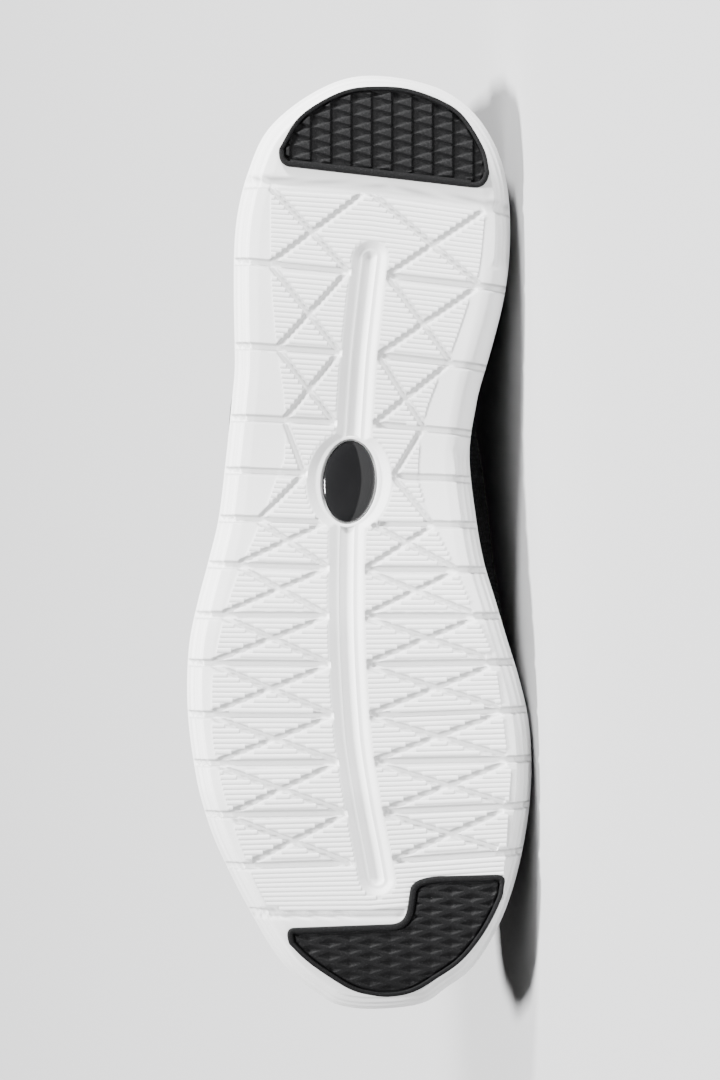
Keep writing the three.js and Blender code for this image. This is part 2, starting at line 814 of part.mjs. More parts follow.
// A point over the throat at a distance across from the ridge, at an inset from the upper.
function throatPoint(share, across, inset) {
  const side = across < 0 ? 2 : 1;
  const read = (column) => smoothColumn(upperRows, column, share);
  const edge = Math.abs(outlinePoint(share, across < 0 ? -1 : 1).y) - cupWall - fit - inset;
  const belly = edge + soleWidth * read(side + 4);
  const crown = ridge(share) - inset;
  const x = share * soleLength;
  const full = Math.min(cupTop(x) + ankleTop * read(4), crown - crownRise);
  const round = read(8);
  const out = Math.min(0.98, Math.abs(across) / belly);
  const up = (1 - out ** round) ** (1 / round);
  return new THREE.Vector3(x, across - soleWidth * read(7) * up, full + (crown - full) * up);
}

// The tongue lies under the throat and then runs on straight, to a rounded tip.
function tongueBody() {
  const steps = 9;
  const spread = 6;
  const inset = upperWall + tongueGap;
  const root = throatEnd + tongueOverlap;
  const rise = throatPoint(throatTopShare, 0, inset).sub(throatPoint(throatTopShare + 0.03, 0, inset)).normalize();
  const section = (share, half, past) => {
    const face = (depth) => {
      const points = [];
      for (let index = 0; index <= spread; index += 1) {
        const point = throatPoint(share, half * ((2 * index) / spread - 1), inset + depth);
        points.push(point.addScaledVector(rise, past));
      }
      return points;
    };
    return [...face(0), ...face(tongueThickness).reverse()];
  };
  const sections = [];
  for (let step = 0; step <= steps; step += 1) {
    const share = root + ((throatTopShare - root) * step) / steps;
    sections.push(section(share, mixNumber(tongueRoot, tongueWidth, step / steps) / 2, 0));
  }
  for (const [past, wide] of tongueTipRows) {
    sections.push(section(throatTopShare, (tongueWidth / 2) * wide, past * tongueRise));
  }
  return sectionBody(sections);
}

function laceStrip(shareA, sideA, shareB, sideB) {
  const steps = 6;
  const out = eyestayThickness + fit + laceGap;
  const reach = throatWidth / 2 + laceReach;
  const sections = [];
  for (let step = 0; step <= steps; step += 1) {
    const s = step / steps;
    const across = reach * (sideA + (sideB - sideA) * s);
    const share = shareA + (shareB - shareA) * s;
    const half = laceWidth / 2 / soleLength;
    sections.push([
      throatPoint(share - half, across, -out),
      throatPoint(share + half, across, -out),
      throatPoint(share + half, across, -out - laceThickness),
      throatPoint(share - half, across, -out - laceThickness),
    ]);
  }
  return sectionBody(sections);
}

function laceBody() {
  const first = throatEnd - laceToThroatEnd;
  const last = throatStart + laceToCollar;
  let lace = laceStrip(first, -1, first, 1);
  for (let index = 0; index < laceCrossings; index += 1) {
    const from = first + ((last - first) * index) / laceCrossings;
    const to = first + ((last - first) * (index + 1)) / laceCrossings;
    lace = lace.add(laceStrip(from, -1, to, 1)).add(laceStrip(from, 1, to, -1));
  }
  return lace;
}

function insoleBody() {
  const loop = outlineLoop(cupWall + 2 * fit + upperWall);
  return loopBody([
    raised(loop, (x) => footbed(x) + fit),
    raised(loop, (x) => footbed(x) + fit + insoleThickness),
  ]);
}

// Assembly

const foam = new THREE.MeshStandardMaterial({ color: 0xf2f2f1, roughness: 0.55, metalness: 0 });
const rubber = new THREE.MeshStandardMaterial({ color: 0x1c1c1e, roughness: 0.6, metalness: 0 });
const gloss = new THREE.MeshStandardMaterial({ color: 0x111113, roughness: 0.12, metalness: 0 });
const knit = new THREE.MeshStandardMaterial({ color: 0x0d0d0e, roughness: 0.9, metalness: 0 });
const film = new THREE.MeshStandardMaterial({ color: 0x141415, roughness: 0.6, metalness: 0 });
const cotton = new THREE.MeshStandardMaterial({ color: 0x101011, roughness: 0.95, metalness: 0 });
const lining = new THREE.MeshStandardMaterial({ color: 0x1a1a1b, roughness: 0.95, metalness: 0 });

function soleUnit() {
  const x = badgeAlong * soleLength;
  const badgeDeep = underside(x) + channelDepth + badgeSeat;
  const ringFloor = 2 * ringMargin - channelBevel;
  let solid = soleBody();
  const cuts = [
    channelCut(channelWidth, channelWidth - 2 * channelBevel, channelDepth, channelWidth / 2),
    channelCut(beadWidth, beadWidth * 0.6, channelDepth + beadDepth, channelWidth / 2),
    ovalCut(badgeLength + ringFloor, badgeWidth + ringFloor, channelBevel, channelDepth),
    upright(ovalLoop(badgeLength + 2 * fit, badgeWidth + 2 * fit), -2 * below, badgeDeep),
    padRecess(heelPadLoop(), ...heelPadReach),
    padRecess(toePadLoop(), ...toePadReach),
    ...lateralGrooves.map((row) => grooveCut(row, grooveWidth)),
    ...medialGrooves.map((row) => grooveCut(row, grooveWidth)),
    ...heelGrooveCuts(),
  ];
  for (const cut of cuts) solid = solid.subtract(cut);
  return solid;
}

const shoe = new THREE.Group();

function addPart(name, solid, material) {
  const mesh = new THREE.Mesh(toGeometry(solid), material);
  mesh.name = name;
  shoe.add(mesh);
  return mesh;
}

addPart("sole_unit", soleUnit(), foam);
addPart("heel_pad", padBody(heelPadLoop(), ...heelPadReach), rubber);
addPart("toe_pad", padBody(toePadLoop(), ...toePadReach), rubber);
addPart("badge", badgeSolid(), gloss);
addPart("upper", upperBody(), knit);
addPart("eyestay", eyestayBody(), film);
addPart("tongue", tongueBody(), knit);
addPart("insole", insoleBody(), lining);
addPart("lace", laceBody(), cotton);

// The shoe lies on the medial facet of its outer hull that lets its centre of mass sink the
// lowest, with its toe towards -X and its sole towards -Y.

const density = new Map([[foam, 0.3], [rubber, 1.15], [gloss, 1.1]]);
const clothDensity = 0.4;

function centreOfMass(meshes) {
  const sum = new THREE.Vector3();
  let total = 0;
  const corner = [0, 1, 2].map(() => new THREE.Vector3());
  for (const mesh of meshes) {
    const place = mesh.geometry.attributes.position;
    const order = mesh.geometry.index;
    const weight = density.get(mesh.material) ?? clothDensity;
    for (let index = 0; index < order.count; index += 3) {
      corner.forEach((point, offset) => point.fromBufferAttribute(place, order.getX(index + offset)));
      const part = (weight * corner[0].dot(corner[1].clone().cross(corner[2]))) / 6;
      corner.forEach((point) => sum.addScaledVector(point, part / 4));
      total += part;
    }
  }
  return sum.divideScalar(total);
}

function restingFace(meshes) {
  const points = [];
  for (const mesh of meshes) {
    const place = mesh.geometry.attributes.position;
    for (let index = 0; index < place.count; index += 1) {
      points.push(new THREE.Vector3().fromBufferAttribute(place, index));
    }
  }
  const centre = centreOfMass(meshes);
  const medial = new THREE.Vector3(0, -1, 0);
  const faces = new ConvexHull().setFromPoints(points).faces.filter((face) => face.normal.dot(medial) > 0.7);
  const height = (face) => face.distanceToPoint(centre);
  return faces.reduce((best, face) => (height(face) > height(best) ? face : best));
}

const up = restingFace(shoe.children).normal.clone().negate();
const toeward = new THREE.Vector3(1, 0, 0).addScaledVector(up, -up.x).normalize();
const topward = toeward.clone().cross(up);
const shoeAxes = new THREE.Matrix4().makeBasis(toeward, topward, up);
const floorAxes = new THREE.Matrix4().makeBasis(
  new THREE.Vector3(-1, 0, 0),
  new THREE.Vector3(0, 1, 0),
  new THREE.Vector3(0, 0, 1),
);
shoe.quaternion.setFromRotationMatrix(floorAxes.multiply(shoeAxes.transpose()));
shoe.updateMatrixWorld(true);
const box = new THREE.Box3().setFromObject(shoe, true);
const middle = box.getCenter(new THREE.Vector3());
shoe.position.set(-middle.x, -middle.y, -box.min.z);

export default shoe;
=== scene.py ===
import bmesh
import bpy
import numpy as np
from mathutils import Matrix, Quaternion, Vector


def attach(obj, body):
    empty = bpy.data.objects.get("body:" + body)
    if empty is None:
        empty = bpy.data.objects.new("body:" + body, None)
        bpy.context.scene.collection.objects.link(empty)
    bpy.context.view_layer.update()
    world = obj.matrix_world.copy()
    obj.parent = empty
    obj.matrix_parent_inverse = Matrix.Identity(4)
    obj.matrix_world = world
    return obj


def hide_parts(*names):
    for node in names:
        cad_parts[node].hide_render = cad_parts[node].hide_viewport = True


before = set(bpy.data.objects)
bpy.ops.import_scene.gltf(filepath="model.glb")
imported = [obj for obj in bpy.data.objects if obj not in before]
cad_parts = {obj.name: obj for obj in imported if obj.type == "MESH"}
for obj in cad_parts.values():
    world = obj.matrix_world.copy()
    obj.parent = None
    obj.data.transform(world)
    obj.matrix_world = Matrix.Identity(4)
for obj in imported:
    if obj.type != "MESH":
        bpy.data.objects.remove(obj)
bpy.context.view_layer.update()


# Camera
# It looks square at the sole, with the heel at the top of the picture. The shoe lies on its
# big-toe side. Its own coordinates are millimetres: from heel to toe, towards the little toe,
# and up from the ground that it walks on.
shoe_turn = Quaternion((-0.0096651, 0.0078647, 0.7755902, 0.6311138))
shoe_spot = Vector((132.0378, -49.3226, 42.3614))
shoe_axes = shoe_turn.to_matrix()
shoe_to_floor = Matrix.Translation(shoe_spot * 0.001) @ shoe_axes.to_4x4() @ Matrix.Scale(0.001, 4)


def add_object(name, data):
    made = bpy.data.objects.new(name, data)
    bpy.context.scene.collection.objects.link(made)
    return made


picture_height = 302.4
camera_distance = 1500
sensor_height = 36
picture_middle = Vector((131.0, 2.8, 0))
camera_data = bpy.data.cameras.new("camera")
camera_data.lens = sensor_height * camera_distance / picture_height
camera_data.clip_end = 20
camera = add_object("camera", camera_data)
camera_axes = shoe_axes @ Matrix(((0, -1, 0), (-1, 0, 0), (0, 0, -1)))
camera_spot = shoe_to_floor @ (picture_middle - Vector((0, 0, camera_distance)))
camera.matrix_world = Matrix.Translation(camera_spot) @ camera_axes.to_4x4()
bpy.context.scene.camera = camera


# Floor and lights
# A pale matt floor. Two soft lights rake the sole low, one from its outer edge and one from the
# heel, so that the grooves of every slant show a dark wall.
floor_size = 12
bpy.ops.mesh.primitive_plane_add(size=floor_size)
floor = bpy.context.object
floor.name = "floor"
floor_paint = bpy.data.materials.new("floor_paint")
floor_paint.use_nodes = True
floor_shader = floor_paint.node_tree.nodes["Principled BSDF"]
floor_shader.inputs["Base Color"].default_value = (0.43, 0.43, 0.433, 1)
floor_shader.inputs["Roughness"].default_value = 0.9
floor_shader.inputs["Specular IOR Level"].default_value = 0.1
floor.data.materials.append(floor_paint)

world = bpy.data.worlds.new("studio")
world.use_nodes = True
world.node_tree.nodes["Background"].inputs["Color"].default_value = (1, 1, 1, 1)
world.node_tree.nodes["Background"].inputs["Strength"].default_value = 0.08
bpy.context.scene.world = world


def soft_light(name, direction, distance, size, power):
    lamp = bpy.data.lights.new(name, "AREA")
    lamp.size = size
    lamp.energy = power
    holder = add_object(name, lamp)
    away = shoe_axes @ Vector(direction).normalized()
    holder.location = shoe_to_floor @ picture_middle + away * distance
    holder.rotation_euler = away.to_track_quat("Z", "Y").to_euler()


soft_light("edge_light", (-0.03, 0.93, -0.36), 5.5, 0.9, 1250)
soft_light("heel_light", (-0.87, 0.36, -0.37), 5.0, 0.9, 900)


# Sole unit
# One white foam moulding, stepped along its side and cut by grooves with steep walls and flat
# floors: a long channel with a ring for the badge, cross grooves that climb the side, and a
# cross in each bay.
sole_length = 264
sole_width = 97
side_band = 7.1
rim_height = 9.5
cup_depth = 5
cup_wall = 3.2
pad_proud = 1.2
arch_rise = 4
toe_spring = 9
foam_sizes = np.array([20, 15, 11, 10])

# Columns: share of the length, lateral and medial half width in shares of the width.
outline_rows = np.array([
    [0.013, 0.138, 0.196], [0.051, 0.280, 0.326], [0.102, 0.353, 0.390], [0.153, 0.387, 0.407],
    [0.229, 0.396, 0.394], [0.305, 0.393, 0.343], [0.348, 0.402, 0.311], [0.411, 0.420, 0.290],
    [0.474, 0.441, 0.309], [0.519, 0.470, 0.331], [0.560, 0.499, 0.364], [0.602, 0.523, 0.398],
    [0.644, 0.531, 0.433], [0.686, 0.528, 0.459], [0.731, 0.513, 0.469], [0.773, 0.490, 0.465],
    [0.814, 0.454, 0.450], [0.856, 0.401, 0.425], [0.898, 0.341, 0.387], [0.932, 0.288, 0.340],
    [0.958, 0.234, 0.289], [0.981, 0.158, 0.207], [0.9965, 0.083, 0.122],
])

# Columns: share of the length, underside in shares of pad_proud, arch_rise and toe_spring,
# foam over it in shares of foam_sizes.
profile_rows = np.array([
    [0.000, 1.6, 0.0, 0.00, 1.00, 0.00, 0.00, 0.00],
    [0.050, 1.0, 0.0, 0.00, 1.00, 0.00, 0.00, 0.00],
    [0.200, 1.0, 0.0, 0.00, 1.00, 0.00, 0.00, 0.00],
    [0.300, 1.0, 0.2, 0.00, 0.60, 0.45, 0.00, 0.00],
    [0.420, 0.0, 1.0, 0.00, 0.00, 1.00, 0.00, 0.00],
    [0.520, 0.0, 0.5, 0.00, 0.00, 0.55, 0.50, 0.00],
    [0.600, 0.0, 0.0, 0.00, 0.00, 0.00, 1.00, 0.00],
    [0.760, 0.0, 0.0, 0.00, 0.00, 0.00, 1.00, 0.00],
    [0.800, 0.5, 0.0, 0.02, 0.00, 0.00, 0.60, 0.40],
    [0.853, 1.0, 0.0, 0.07, 0.00, 0.00, 0.10, 0.90],
    [0.900, 1.0, 0.0, 0.22, 0.00, 0.00, 0.00, 1.00],
    [0.950, 1.0, 0.0, 0.50, 0.00, 0.00, 0.00, 1.00],
    [1.000, 1.0, 0.0, 1.00, 0.00, 0.00, 0.00, 1.00],
])

# Cross grooves. Columns: place along the sole at the lateral edge, the channel and the medial
# edge, and how far the groove's outer ends are from the middle on each side.
groove_rows = np.array([
    [30.5, 32.8, 38.4], [52.6, 56.4, 60.8], [76.4, 79.1, 82.9], [96.6, 98.6, 101.1],
    [111.4, 113.0, 114.0], [124.9, 126.4, 126.8], [137.8, 139.3, 139.4], [152.0, 152.4, 152.3],
    [165.5, 166.0, 165.2], [180.0, 180.2, 178.6], [193.8, 193.2, 192.4], [208.3, 207.4, 205.5],
    [222.9, 221.5, 218.7], [235.8, 235.6, 232.5],
])

# Edge of the ribbed field. Columns: place along the sole, distance from the middle line.
lateral_field = np.array([
    [33, 27.7], [51, 27.7], [74, 26.3], [82, 25.2], [94, 23.8], [107, 23.8], [114, 26.3], [121, 28.8],
    [129, 31.9], [142, 37.5], [155, 41.4], [173, 44.2], [183, 44.2], [197, 42.0], [211, 38.1],
    [225, 33.0], [233, 29.1],
])
medial_field = np.array([
    [39, 32.2], [55, 30.5], [61, 28.6], [78, 22.7], [85, 19.3], [97, 15.1], [113, 13.4], [125, 16.8],
    [137, 22.7], [151, 28.8], [164, 34.4], [177, 36.7], [192, 38.6], [194, 39.5], [204, 38.9],
    [218, 38.1], [223, 37.5],
])

# Middle of the channel. Columns: place along the sole, distance to the lateral side.
channel_rows = np.array([
    [49, -0.3], [64, 1.5], [81, 3.3], [111, 5.3], [128, 6.4], [148, 6.7], [184, 5.1], [204, 2.2],
    [219, -0.7], [227, -2.1],
])
channel_start, channel_end = 52.0, 225.8
channel_edge, ledge_edge, bead_edge = 5.2, 3.1, 2.05
ledge_depth, bead_step, bead_depth = 1.2, 0.22, 0.75
badge_middle = np.array([114.6, 5.9])
badge_turn = 0.07
badge_half = np.array([11.5, 7.3])
ring_outer = np.array([14.6, 12.2])
ring_ledge = np.array([12.6, 9.4])
ring_inner = np.array([12.3, 8.4])
groove_half, groove_depth = 1.2, 1.1
heel_groove_half = 1.75
cross_half, cross_depth = 1.05, 0.7
medial_land = 0.8
groove_slant_reach = 40
rib_pitch, rib_height = 1.38, 0.19
band_drop = 0.3
sole_sharp_angle = 58
seat_hole_inset, seat_hole_depth = 0.35, 2.5
cross_corner_gap, heel_corner_gap = 0.7, 1.4
last_groove_start = -9.5

# Where a groove's wall and the painted shade on it start and end, in shares of the groove's half width.
groove_wall, painted_shade_wall = (1.0, 0.45), (1.2, 0.35)


def smooth(rows, at):
    """Columns of a table at the given places, level through highs, lows and flats."""
    places, columns = rows[:, 0], rows[:, 1:]
    slope = np.zeros_like(columns)
    before = columns[1:-1] - columns[:-2]
    after = columns[2:] - columns[1:-1]
    middle = (columns[2:] - columns[:-2]) / (places[2:] - places[:-2])[:, None]
    slope[1:-1] = np.where(before * after <= 0, 0, middle)
    slope[0] = (columns[1] - columns[0]) / (places[1] - places[0])
    slope[-1] = (columns[-1] - columns[-2]) / (places[-1] - places[-2])
    at = np.clip(np.asarray(at, float), places[0], places[-1])
    row = np.clip(np.searchsorted(places, at, side="right") - 1, 0, len(places) - 2)
    span = (places[row + 1] - places[row])[..., None]
    s = (at - places[row])[..., None] / span
    start, end = columns[row], columns[row + 1]
    return (
        start * (2 * s**3 - 3 * s**2 + 1)
        + end * (3 * s**2 - 2 * s**3)
        + slope[row] * span * (s**3 - 2 * s**2 + s)
        + slope[row + 1] * span * (s**3 - s**2)
    )


def angle_at(share):
    """The outline's angle at a share of the length: nothing at the heel and a half turn at the toe."""
    return np.arccos(1 - 2 * share)


def unit(vectors):
    return vectors / np.maximum(np.linalg.norm(vectors, axis=-1, keepdims=True), 1e-9)


def raised(plan, height):
    return np.concatenate([plan, height[..., None]], -1)


width_angles = angle_at(outline_rows[:, 0])
width_rows = np.column_stack([width_angles, outline_rows[:, 1:] / np.sin(width_angles)[:, None]])


def outline(angle, inset=0.0):
    """Points of the sole's outline: the angle runs from heel to toe, positive on the lateral side."""
    angle = np.asarray(angle, float)

    def point(at):
        wide = smooth(width_rows, np.abs(at))
        half = np.where(at > 0, wide[..., 0], wide[..., 1]) * np.sin(at)
        return np.stack([sole_length * (1 - np.cos(at)) / 2, sole_width * half], -1)

    step = 1e-3
    run = unit(point(angle + step) - point(angle - step))
    inward = np.stack([run[..., 1], -run[..., 0]], -1)
    return point(angle) + inward * np.asarray(inset, float)[..., None], inward


def underside(x):
    shares = smooth(profile_rows[:, :4], np.asarray(x) / sole_length)
    return shares @ np.array([pad_proud, arch_rise, toe_spring])


def footbed(x):
    shares = smooth(profile_rows[:, [0, 4, 5, 6, 7]], np.asarray(x) / sole_length)
    return underside(x) + shares @ foam_sizes


def channel_middle(x):
    return smooth(channel_rows, x)[..., 0]


def ramp(value, start, end):
    s = np.clip((np.asarray(value, float) - start) / (end - start), 0, 1)
    return s * s * (3 - 2 * s)


def oval(x, y, half):
    """How far a point is outside an oval round the badge, in millimetres."""
    cos, sin = np.cos(badge_turn), np.sin(badge_turn)
    dx, dy = x - badge_middle[0], y - badge_middle[1]
    along, across = cos * dx + sin * dy, -sin * dx + cos * dy
    reach = np.hypot(along / half[0], across / half[1])
    slope = np.hypot(along / half[0] ** 2, across / half[1] ** 2) / np.maximum(reach, 1e-6)
    return (reach - 1) / np.maximum(slope, 1e-6)


def from_channel(x, y):
    """Distance from the channel's middle line, which has round ends."""
    past = np.maximum(0, np.maximum(channel_start - x, x - channel_end))
    return np.hypot(y - channel_middle(x), past)


def from_segment(x, y, start, end):
    run = np.subtract(end, start)
    s = ((x - start[0]) * run[0] + (y - start[1]) * run[1]) / (run @ run)
    s = np.clip(s, 0, 1)
    return np.hypot(x - start[0] - s * run[0], y - start[1] - s * run[1])


def channel_side(x, side):
    """Where the channel, or the ring round the badge, ends on one side."""
    plain = channel_middle(x) + side * channel_edge
    share = np.clip((x - badge_middle[0]) / ring_outer[0], -1, 1)
    ring = badge_middle[1] + side * ring_outer[1] * np.sqrt(1 - share**2)
    return max(plain, ring) if side > 0 else min(plain, ring)


# The cross in each bay runs from corner to corner. Columns: bay, strokes on the lateral side
# and on the medial side, where 1 falls towards the toe, 2 rises and 3 is both.
cross_rows = [
    (0, 3, 3), (1, 3, 3), (2, 3, 3), (3, 1, 2), (4, 2, 1), (5, 3, 3), (6, 3, 3), (7, 3, 3), (8, 3, 3),
    (9, 3, 3), (10, 3, 3), (11, 3, 3),
]


def slant(y):
    """How far a cross groove has gone over from its place at the channel to that at the edge."""
    return np.clip(np.abs(y) / groove_slant_reach, 0, 1)


def groove_place(bay, y, side):
    """Place along the sole of a cross groove at a distance from the middle."""
    lateral, middle, medial = groove_rows[bay]
    outer = lateral if side > 0 else medial
    return middle + (outer - middle) * slant(y)


grooves = []
last_groove = len(groove_rows) - 1
for bay, (lateral, middle, medial) in enumerate(groove_rows):
    for side, outer in ((1, lateral), (-1, medial)):
        if bay == last_groove and side < 0:
            continue
        edge = channel_side(middle, side)
        if side < 0:
            edge -= groove_half + medial_land
        start = (groove_place(bay, edge, side), edge)
        if bay in (0, last_groove):
            start = (middle, 0 if bay == 0 else last_groove_start)
        finish_point = outline(side * angle_at(outer / sole_length), 0.4)[0]
        half = heel_groove_half if bay == 0 else groove_half
        grooves.append((np.array(start), finish_point, half, groove_depth))

crosses = []
for bay, lateral, medial in cross_rows:
    for side, strokes, field in ((1, lateral, lateral_field), (-1, medial, medial_field)):
        corners = []
        for number, step in ((bay, 1), (bay + 1, -1)):
            near = groove_rows[number][1] + step * cross_corner_gap
            inner = channel_side(near, side) + side * 0.9
            if number == 0:
                inner = 0.5 + side * 1.6
            outer = side * (smooth(field, near)[0] - 0.2)
            gap = step * (heel_corner_gap if number == 0 else cross_corner_gap)
            corners.append([(groove_place(number, y, side) + gap, y) for y in (inner, outer)])
        (top_inner, top_outer), (low_inner, low_outer) = corners
        if strokes & 1:
            crosses.append((top_outer, low_inner) if side > 0 else (top_inner, low_outer))
        if strokes & 2:
            crosses.append((low_outer, top_inner) if side > 0 else (low_inner, top_outer))
crosses = [(np.array(a), np.array(b), cross_half, cross_depth) for a, b in crosses]


def groove_fill(x, y, cuts, wall, deep=True):
    """How full of groove each point is, from nothing above a wall to one below it, or the
    groove's depth there if deep."""
    most = np.zeros_like(x)
    widest = 2 * heel_groove_half
    for start, end, half, depth in cuts:
        low = np.minimum(start, end) - widest
        high = np.maximum(start, end) + widest
        near = (x > low[0]) & (x < high[0]) & (y > low[1]) & (y < high[1])
        away = from_segment(x[near], y[near], start, end) / half
        most[near] = np.maximum(most[near], ramp(away, *wall) * (depth if deep else 1))
    return most


def groove_cut(x, y, cuts):
    return groove_fill(x, y, cuts, groove_wall)


def groove_painted_shade(x, y, cuts):
    """How much painted shade each point takes: most half way down the wall of a groove, where the wall
    falls into shade.
    """
    fill = groove_fill(x, y, cuts, painted_shade_wall, deep=False)
    return 4 * fill * (1 - fill)


def in_field(x, y):
    """How far a point is inside the ribbed field, in millimetres."""
    lateral = smooth(lateral_field, x)[..., 0] - y
    medial = y + smooth(medial_field, x)[..., 0]
    edge = np.where(y > 0, 0, 2)
    first, last = (row[1] + (row[edge] - row[1]) * slant(y) for row in (groove_rows[0], groove_rows[-1]))
    return np.minimum(np.minimum(lateral, medial), np.minimum(x - first, last - x))


def clear_of_channel(x, y):
    """One outside the channel and the ring round the badge, and nothing inside them."""
    mouth = np.minimum(from_channel(x, y) - channel_edge, oval(x, y, ring_outer))
    return ramp(mouth, -0.4, 0.15)


def relief(x, y):
    """Depth of the underside below its highest face, at each point."""
    field = in_field(x, y)
    depth = rib_height + (band_drop - rib_height) * ramp(field, 0.3, -0.3)
    depth = depth + groove_cut(x, y, grooves + crosses)
    away = from_channel(x, y)
    bevel = ledge_depth * np.clip((channel_edge - away) / (channel_edge - ledge_edge), 0, 1)
    bead = np.where(
        away < bead_edge,
        bead_step * ramp(away, bead_edge, bead_edge - 0.2) + bead_depth * (1 - (away / bead_edge) ** 2),
        0,
    )
    outer, ledge, inner = oval(x, y, ring_outer), oval(x, y, ring_ledge), oval(x, y, ring_inner)
    ring = ledge_depth * np.clip(outer / np.minimum(outer - ledge, -1e-6), 0, 1) * (outer < 0)
    ring = np.where(ledge <= 0, ledge_depth, ring)
    channel = np.maximum(bevel + np.where(ledge > -1.2, bead, 0), ring)
    channel = np.where(inner < -seat_hole_inset, ledge_depth + seat_hole_depth, channel)
    return depth * clear_of_channel(x, y) + channel


def mesh_object(name, points, faces, materials, smooth_angle=None, cloth=None, inside=None, painted_shade=None):
    """An object from shoe coordinates in millimetres, set down on the floor.

    cloth gives each point's place on the flat cloth, inside marks the faces that take the
    second material, and the last argument is how much painted shade greys each point."""
    mesh = bpy.data.meshes.new(name)
    mesh.from_pydata(np.asarray(points, float).reshape(-1, 3).tolist(), [], np.asarray(faces).tolist())
    mesh.transform(shoe_to_floor)
    for material in materials:
        mesh.materials.append(material)
    if cloth is not None:
        corners = np.empty(len(mesh.loops), int)
        mesh.loops.foreach_get("vertex_index", corners)
        layer = mesh.uv_layers.new(name="cloth")
        layer.data.foreach_set("uv", np.asarray(cloth, float).reshape(-1, 2)[corners].ravel())
    if painted_shade is not None:
        mesh.attributes.new("painted_shade", "FLOAT", "POINT").data.foreach_set("value", np.ravel(painted_shade))
    if inside is not None:
        mesh.polygons.foreach_set("material_index", np.asarray(inside, int))
    piece = add_object(name, mesh)
    tidy_mesh(mesh, smooth_angle)
    return piece


def tidy_mesh(mesh, smooth_angle):
    """Welds the seams, drops faces without area and points without faces, turns faces outwards
    and shades smoothly."""
    shape = bmesh.new()
    shape.from_mesh(mesh)
    bmesh.ops.remove_doubles(shape, verts=shape.verts, dist=2e-6)
    bmesh.ops.dissolve_degenerate(shape, edges=shape.edges, dist=1e-6)
    bmesh.ops.delete(shape, geom=[v for v in shape.verts if not v.link_faces], context="VERTS")
    bmesh.ops.recalc_face_normals(shape, faces=shape.faces)
    shape.to_mesh(mesh)
    shape.free()
    mesh.shade_smooth()
    if smooth_angle:
        mesh.set_sharp_from_angle(angle=np.radians(smooth_angle))


def declare(piece, slot, *nodes):
    """Hides the parts of model.glb that a piece stands in for. Nothing here moves, so all of it rides on
    the root.
    """
    if nodes:
        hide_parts(*nodes)
    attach(piece, "root")


def sheet_faces(rows, columns, closed=False):
    """Quads of a grid of points, row after row; closed joins the last column to the first."""
    index = np.arange(rows * columns).reshape(rows, columns)
    right = np.roll(index, -1, axis=1) if closed else index[:, 1:]
    left = index if closed else index[:, :-1]
    return np.stack([left[:-1], right[:-1], right[1:], left[1:]], -1).reshape(-1, 4)


# Rows of the sole's mesh follow the cross grooves, closer together over each groove. The mesh
# is split at two of the grooves.
groove_offsets = np.array([0, 0.3, 0.6, 0.85, 1.05, 1.2, 1.35, 1.6, 1.95])
row_pitch = 0.28
split_grooves = (4, 9)
knots = np.vstack([[0, 0, 0], groove_rows, [sole_length] * 3])
run_in = np.linspace(0, 1, 41)
run_in = np.where(run_in < 0.5, run_in**2, run_in - 0.25) / 0.75
row_places = []
split_rows = [0]
for number in range(len(knots) - 1):
    length = knots[number + 1][1] - knots[number][1]
    if number == 0:
        shares = run_in
    elif number == len(knots) - 2:
        shares = 1 - run_in[::-1]
    else:
        steps = int((length - 2 * groove_offsets[-1]) / row_pitch)
        middle = np.linspace(groove_offsets[-1], length - groove_offsets[-1], steps + 1)
        shares = np.concatenate([groove_offsets[:-1], middle, length - groove_offsets[-2::-1]]) / length
    if number > 0:
        shares = shares[1:]
    row_places.append(knots[number] + (knots[number + 1] - knots[number]) * shares[:, None])
    if number in split_grooves:
        split_rows.append(sum(len(part) for part in row_places) - 1)
row_places = np.clip(np.vstack(row_places), 0, sole_length)
row_count = len(row_places)
split_rows.append(row_count - 1)
lateral_angle = angle_at(row_places[:, 0] / sole_length)
medial_angle = -angle_at(row_places[:, 2] / sole_length)

# Side of the sole from the field to the cup. Columns: inset in shares of side_band, rise in
# shares of rim_height.
step_rows = np.array([
    [1.00, 0.00], [0.61, 0.05], [0.51, 0.30], [0.35, 0.34], [0.25, 0.62], [0.16, 0.65], [0.07, 0.92],
    [0.00, 1.00],
])

# Section of the cup. Columns: inset, share of the way up from the rim, or from the bed at the
# inner face, and a small lift.
cup_section = (
    (0.0, 0.04, 0.25), (0.28, 0.06, 0.3), (0.3, 0.3, 0), (0.42, 0.6, 0), (0.5, 0.9, 0),
    (0.62, 0.985, 0), (0.95, 1.0, 0), (2.7, 1.0, 0), (3.15, 0.985, 0), (cup_wall, 0.9, 0),
    (cup_wall, 0.0, 0),
)


def rounded_path(points, radius, parts):
    """Rounds the corners of a path and divides its straight runs."""
    path = [points[0]]
    for before, corner, after in zip(points, points[1:], points[2:]):
        back, ahead = before - corner, after - corner
        near = min(radius, 0.4 * np.linalg.norm(back), 0.4 * np.linalg.norm(ahead))
        first = corner + back / np.linalg.norm(back) * near
        last = corner + ahead / np.linalg.norm(ahead) * near
        path += [first, 0.25 * first + 0.5 * corner + 0.25 * last, last]
    path.append(points[-1])
    full = [path[0]]
    for start, end in zip(path, path[1:]):
        count = max(1, int(np.ceil(np.linalg.norm(end - start) / parts)))
        full += [start + (end - start) * (k + 1) / count for k in range(count)]
    return np.array(full)


stepped_side = rounded_path(step_rows * [side_band, rim_height], 0.22, 1.0)
side_share = np.linspace(0, 1, len(stepped_side))
smooth_turn = side_share * np.pi / 2
smooth_side = np.column_stack([
    side_band * (1 - np.sin(smooth_turn)),
    rim_height * (1 - np.cos(smooth_turn)),
])


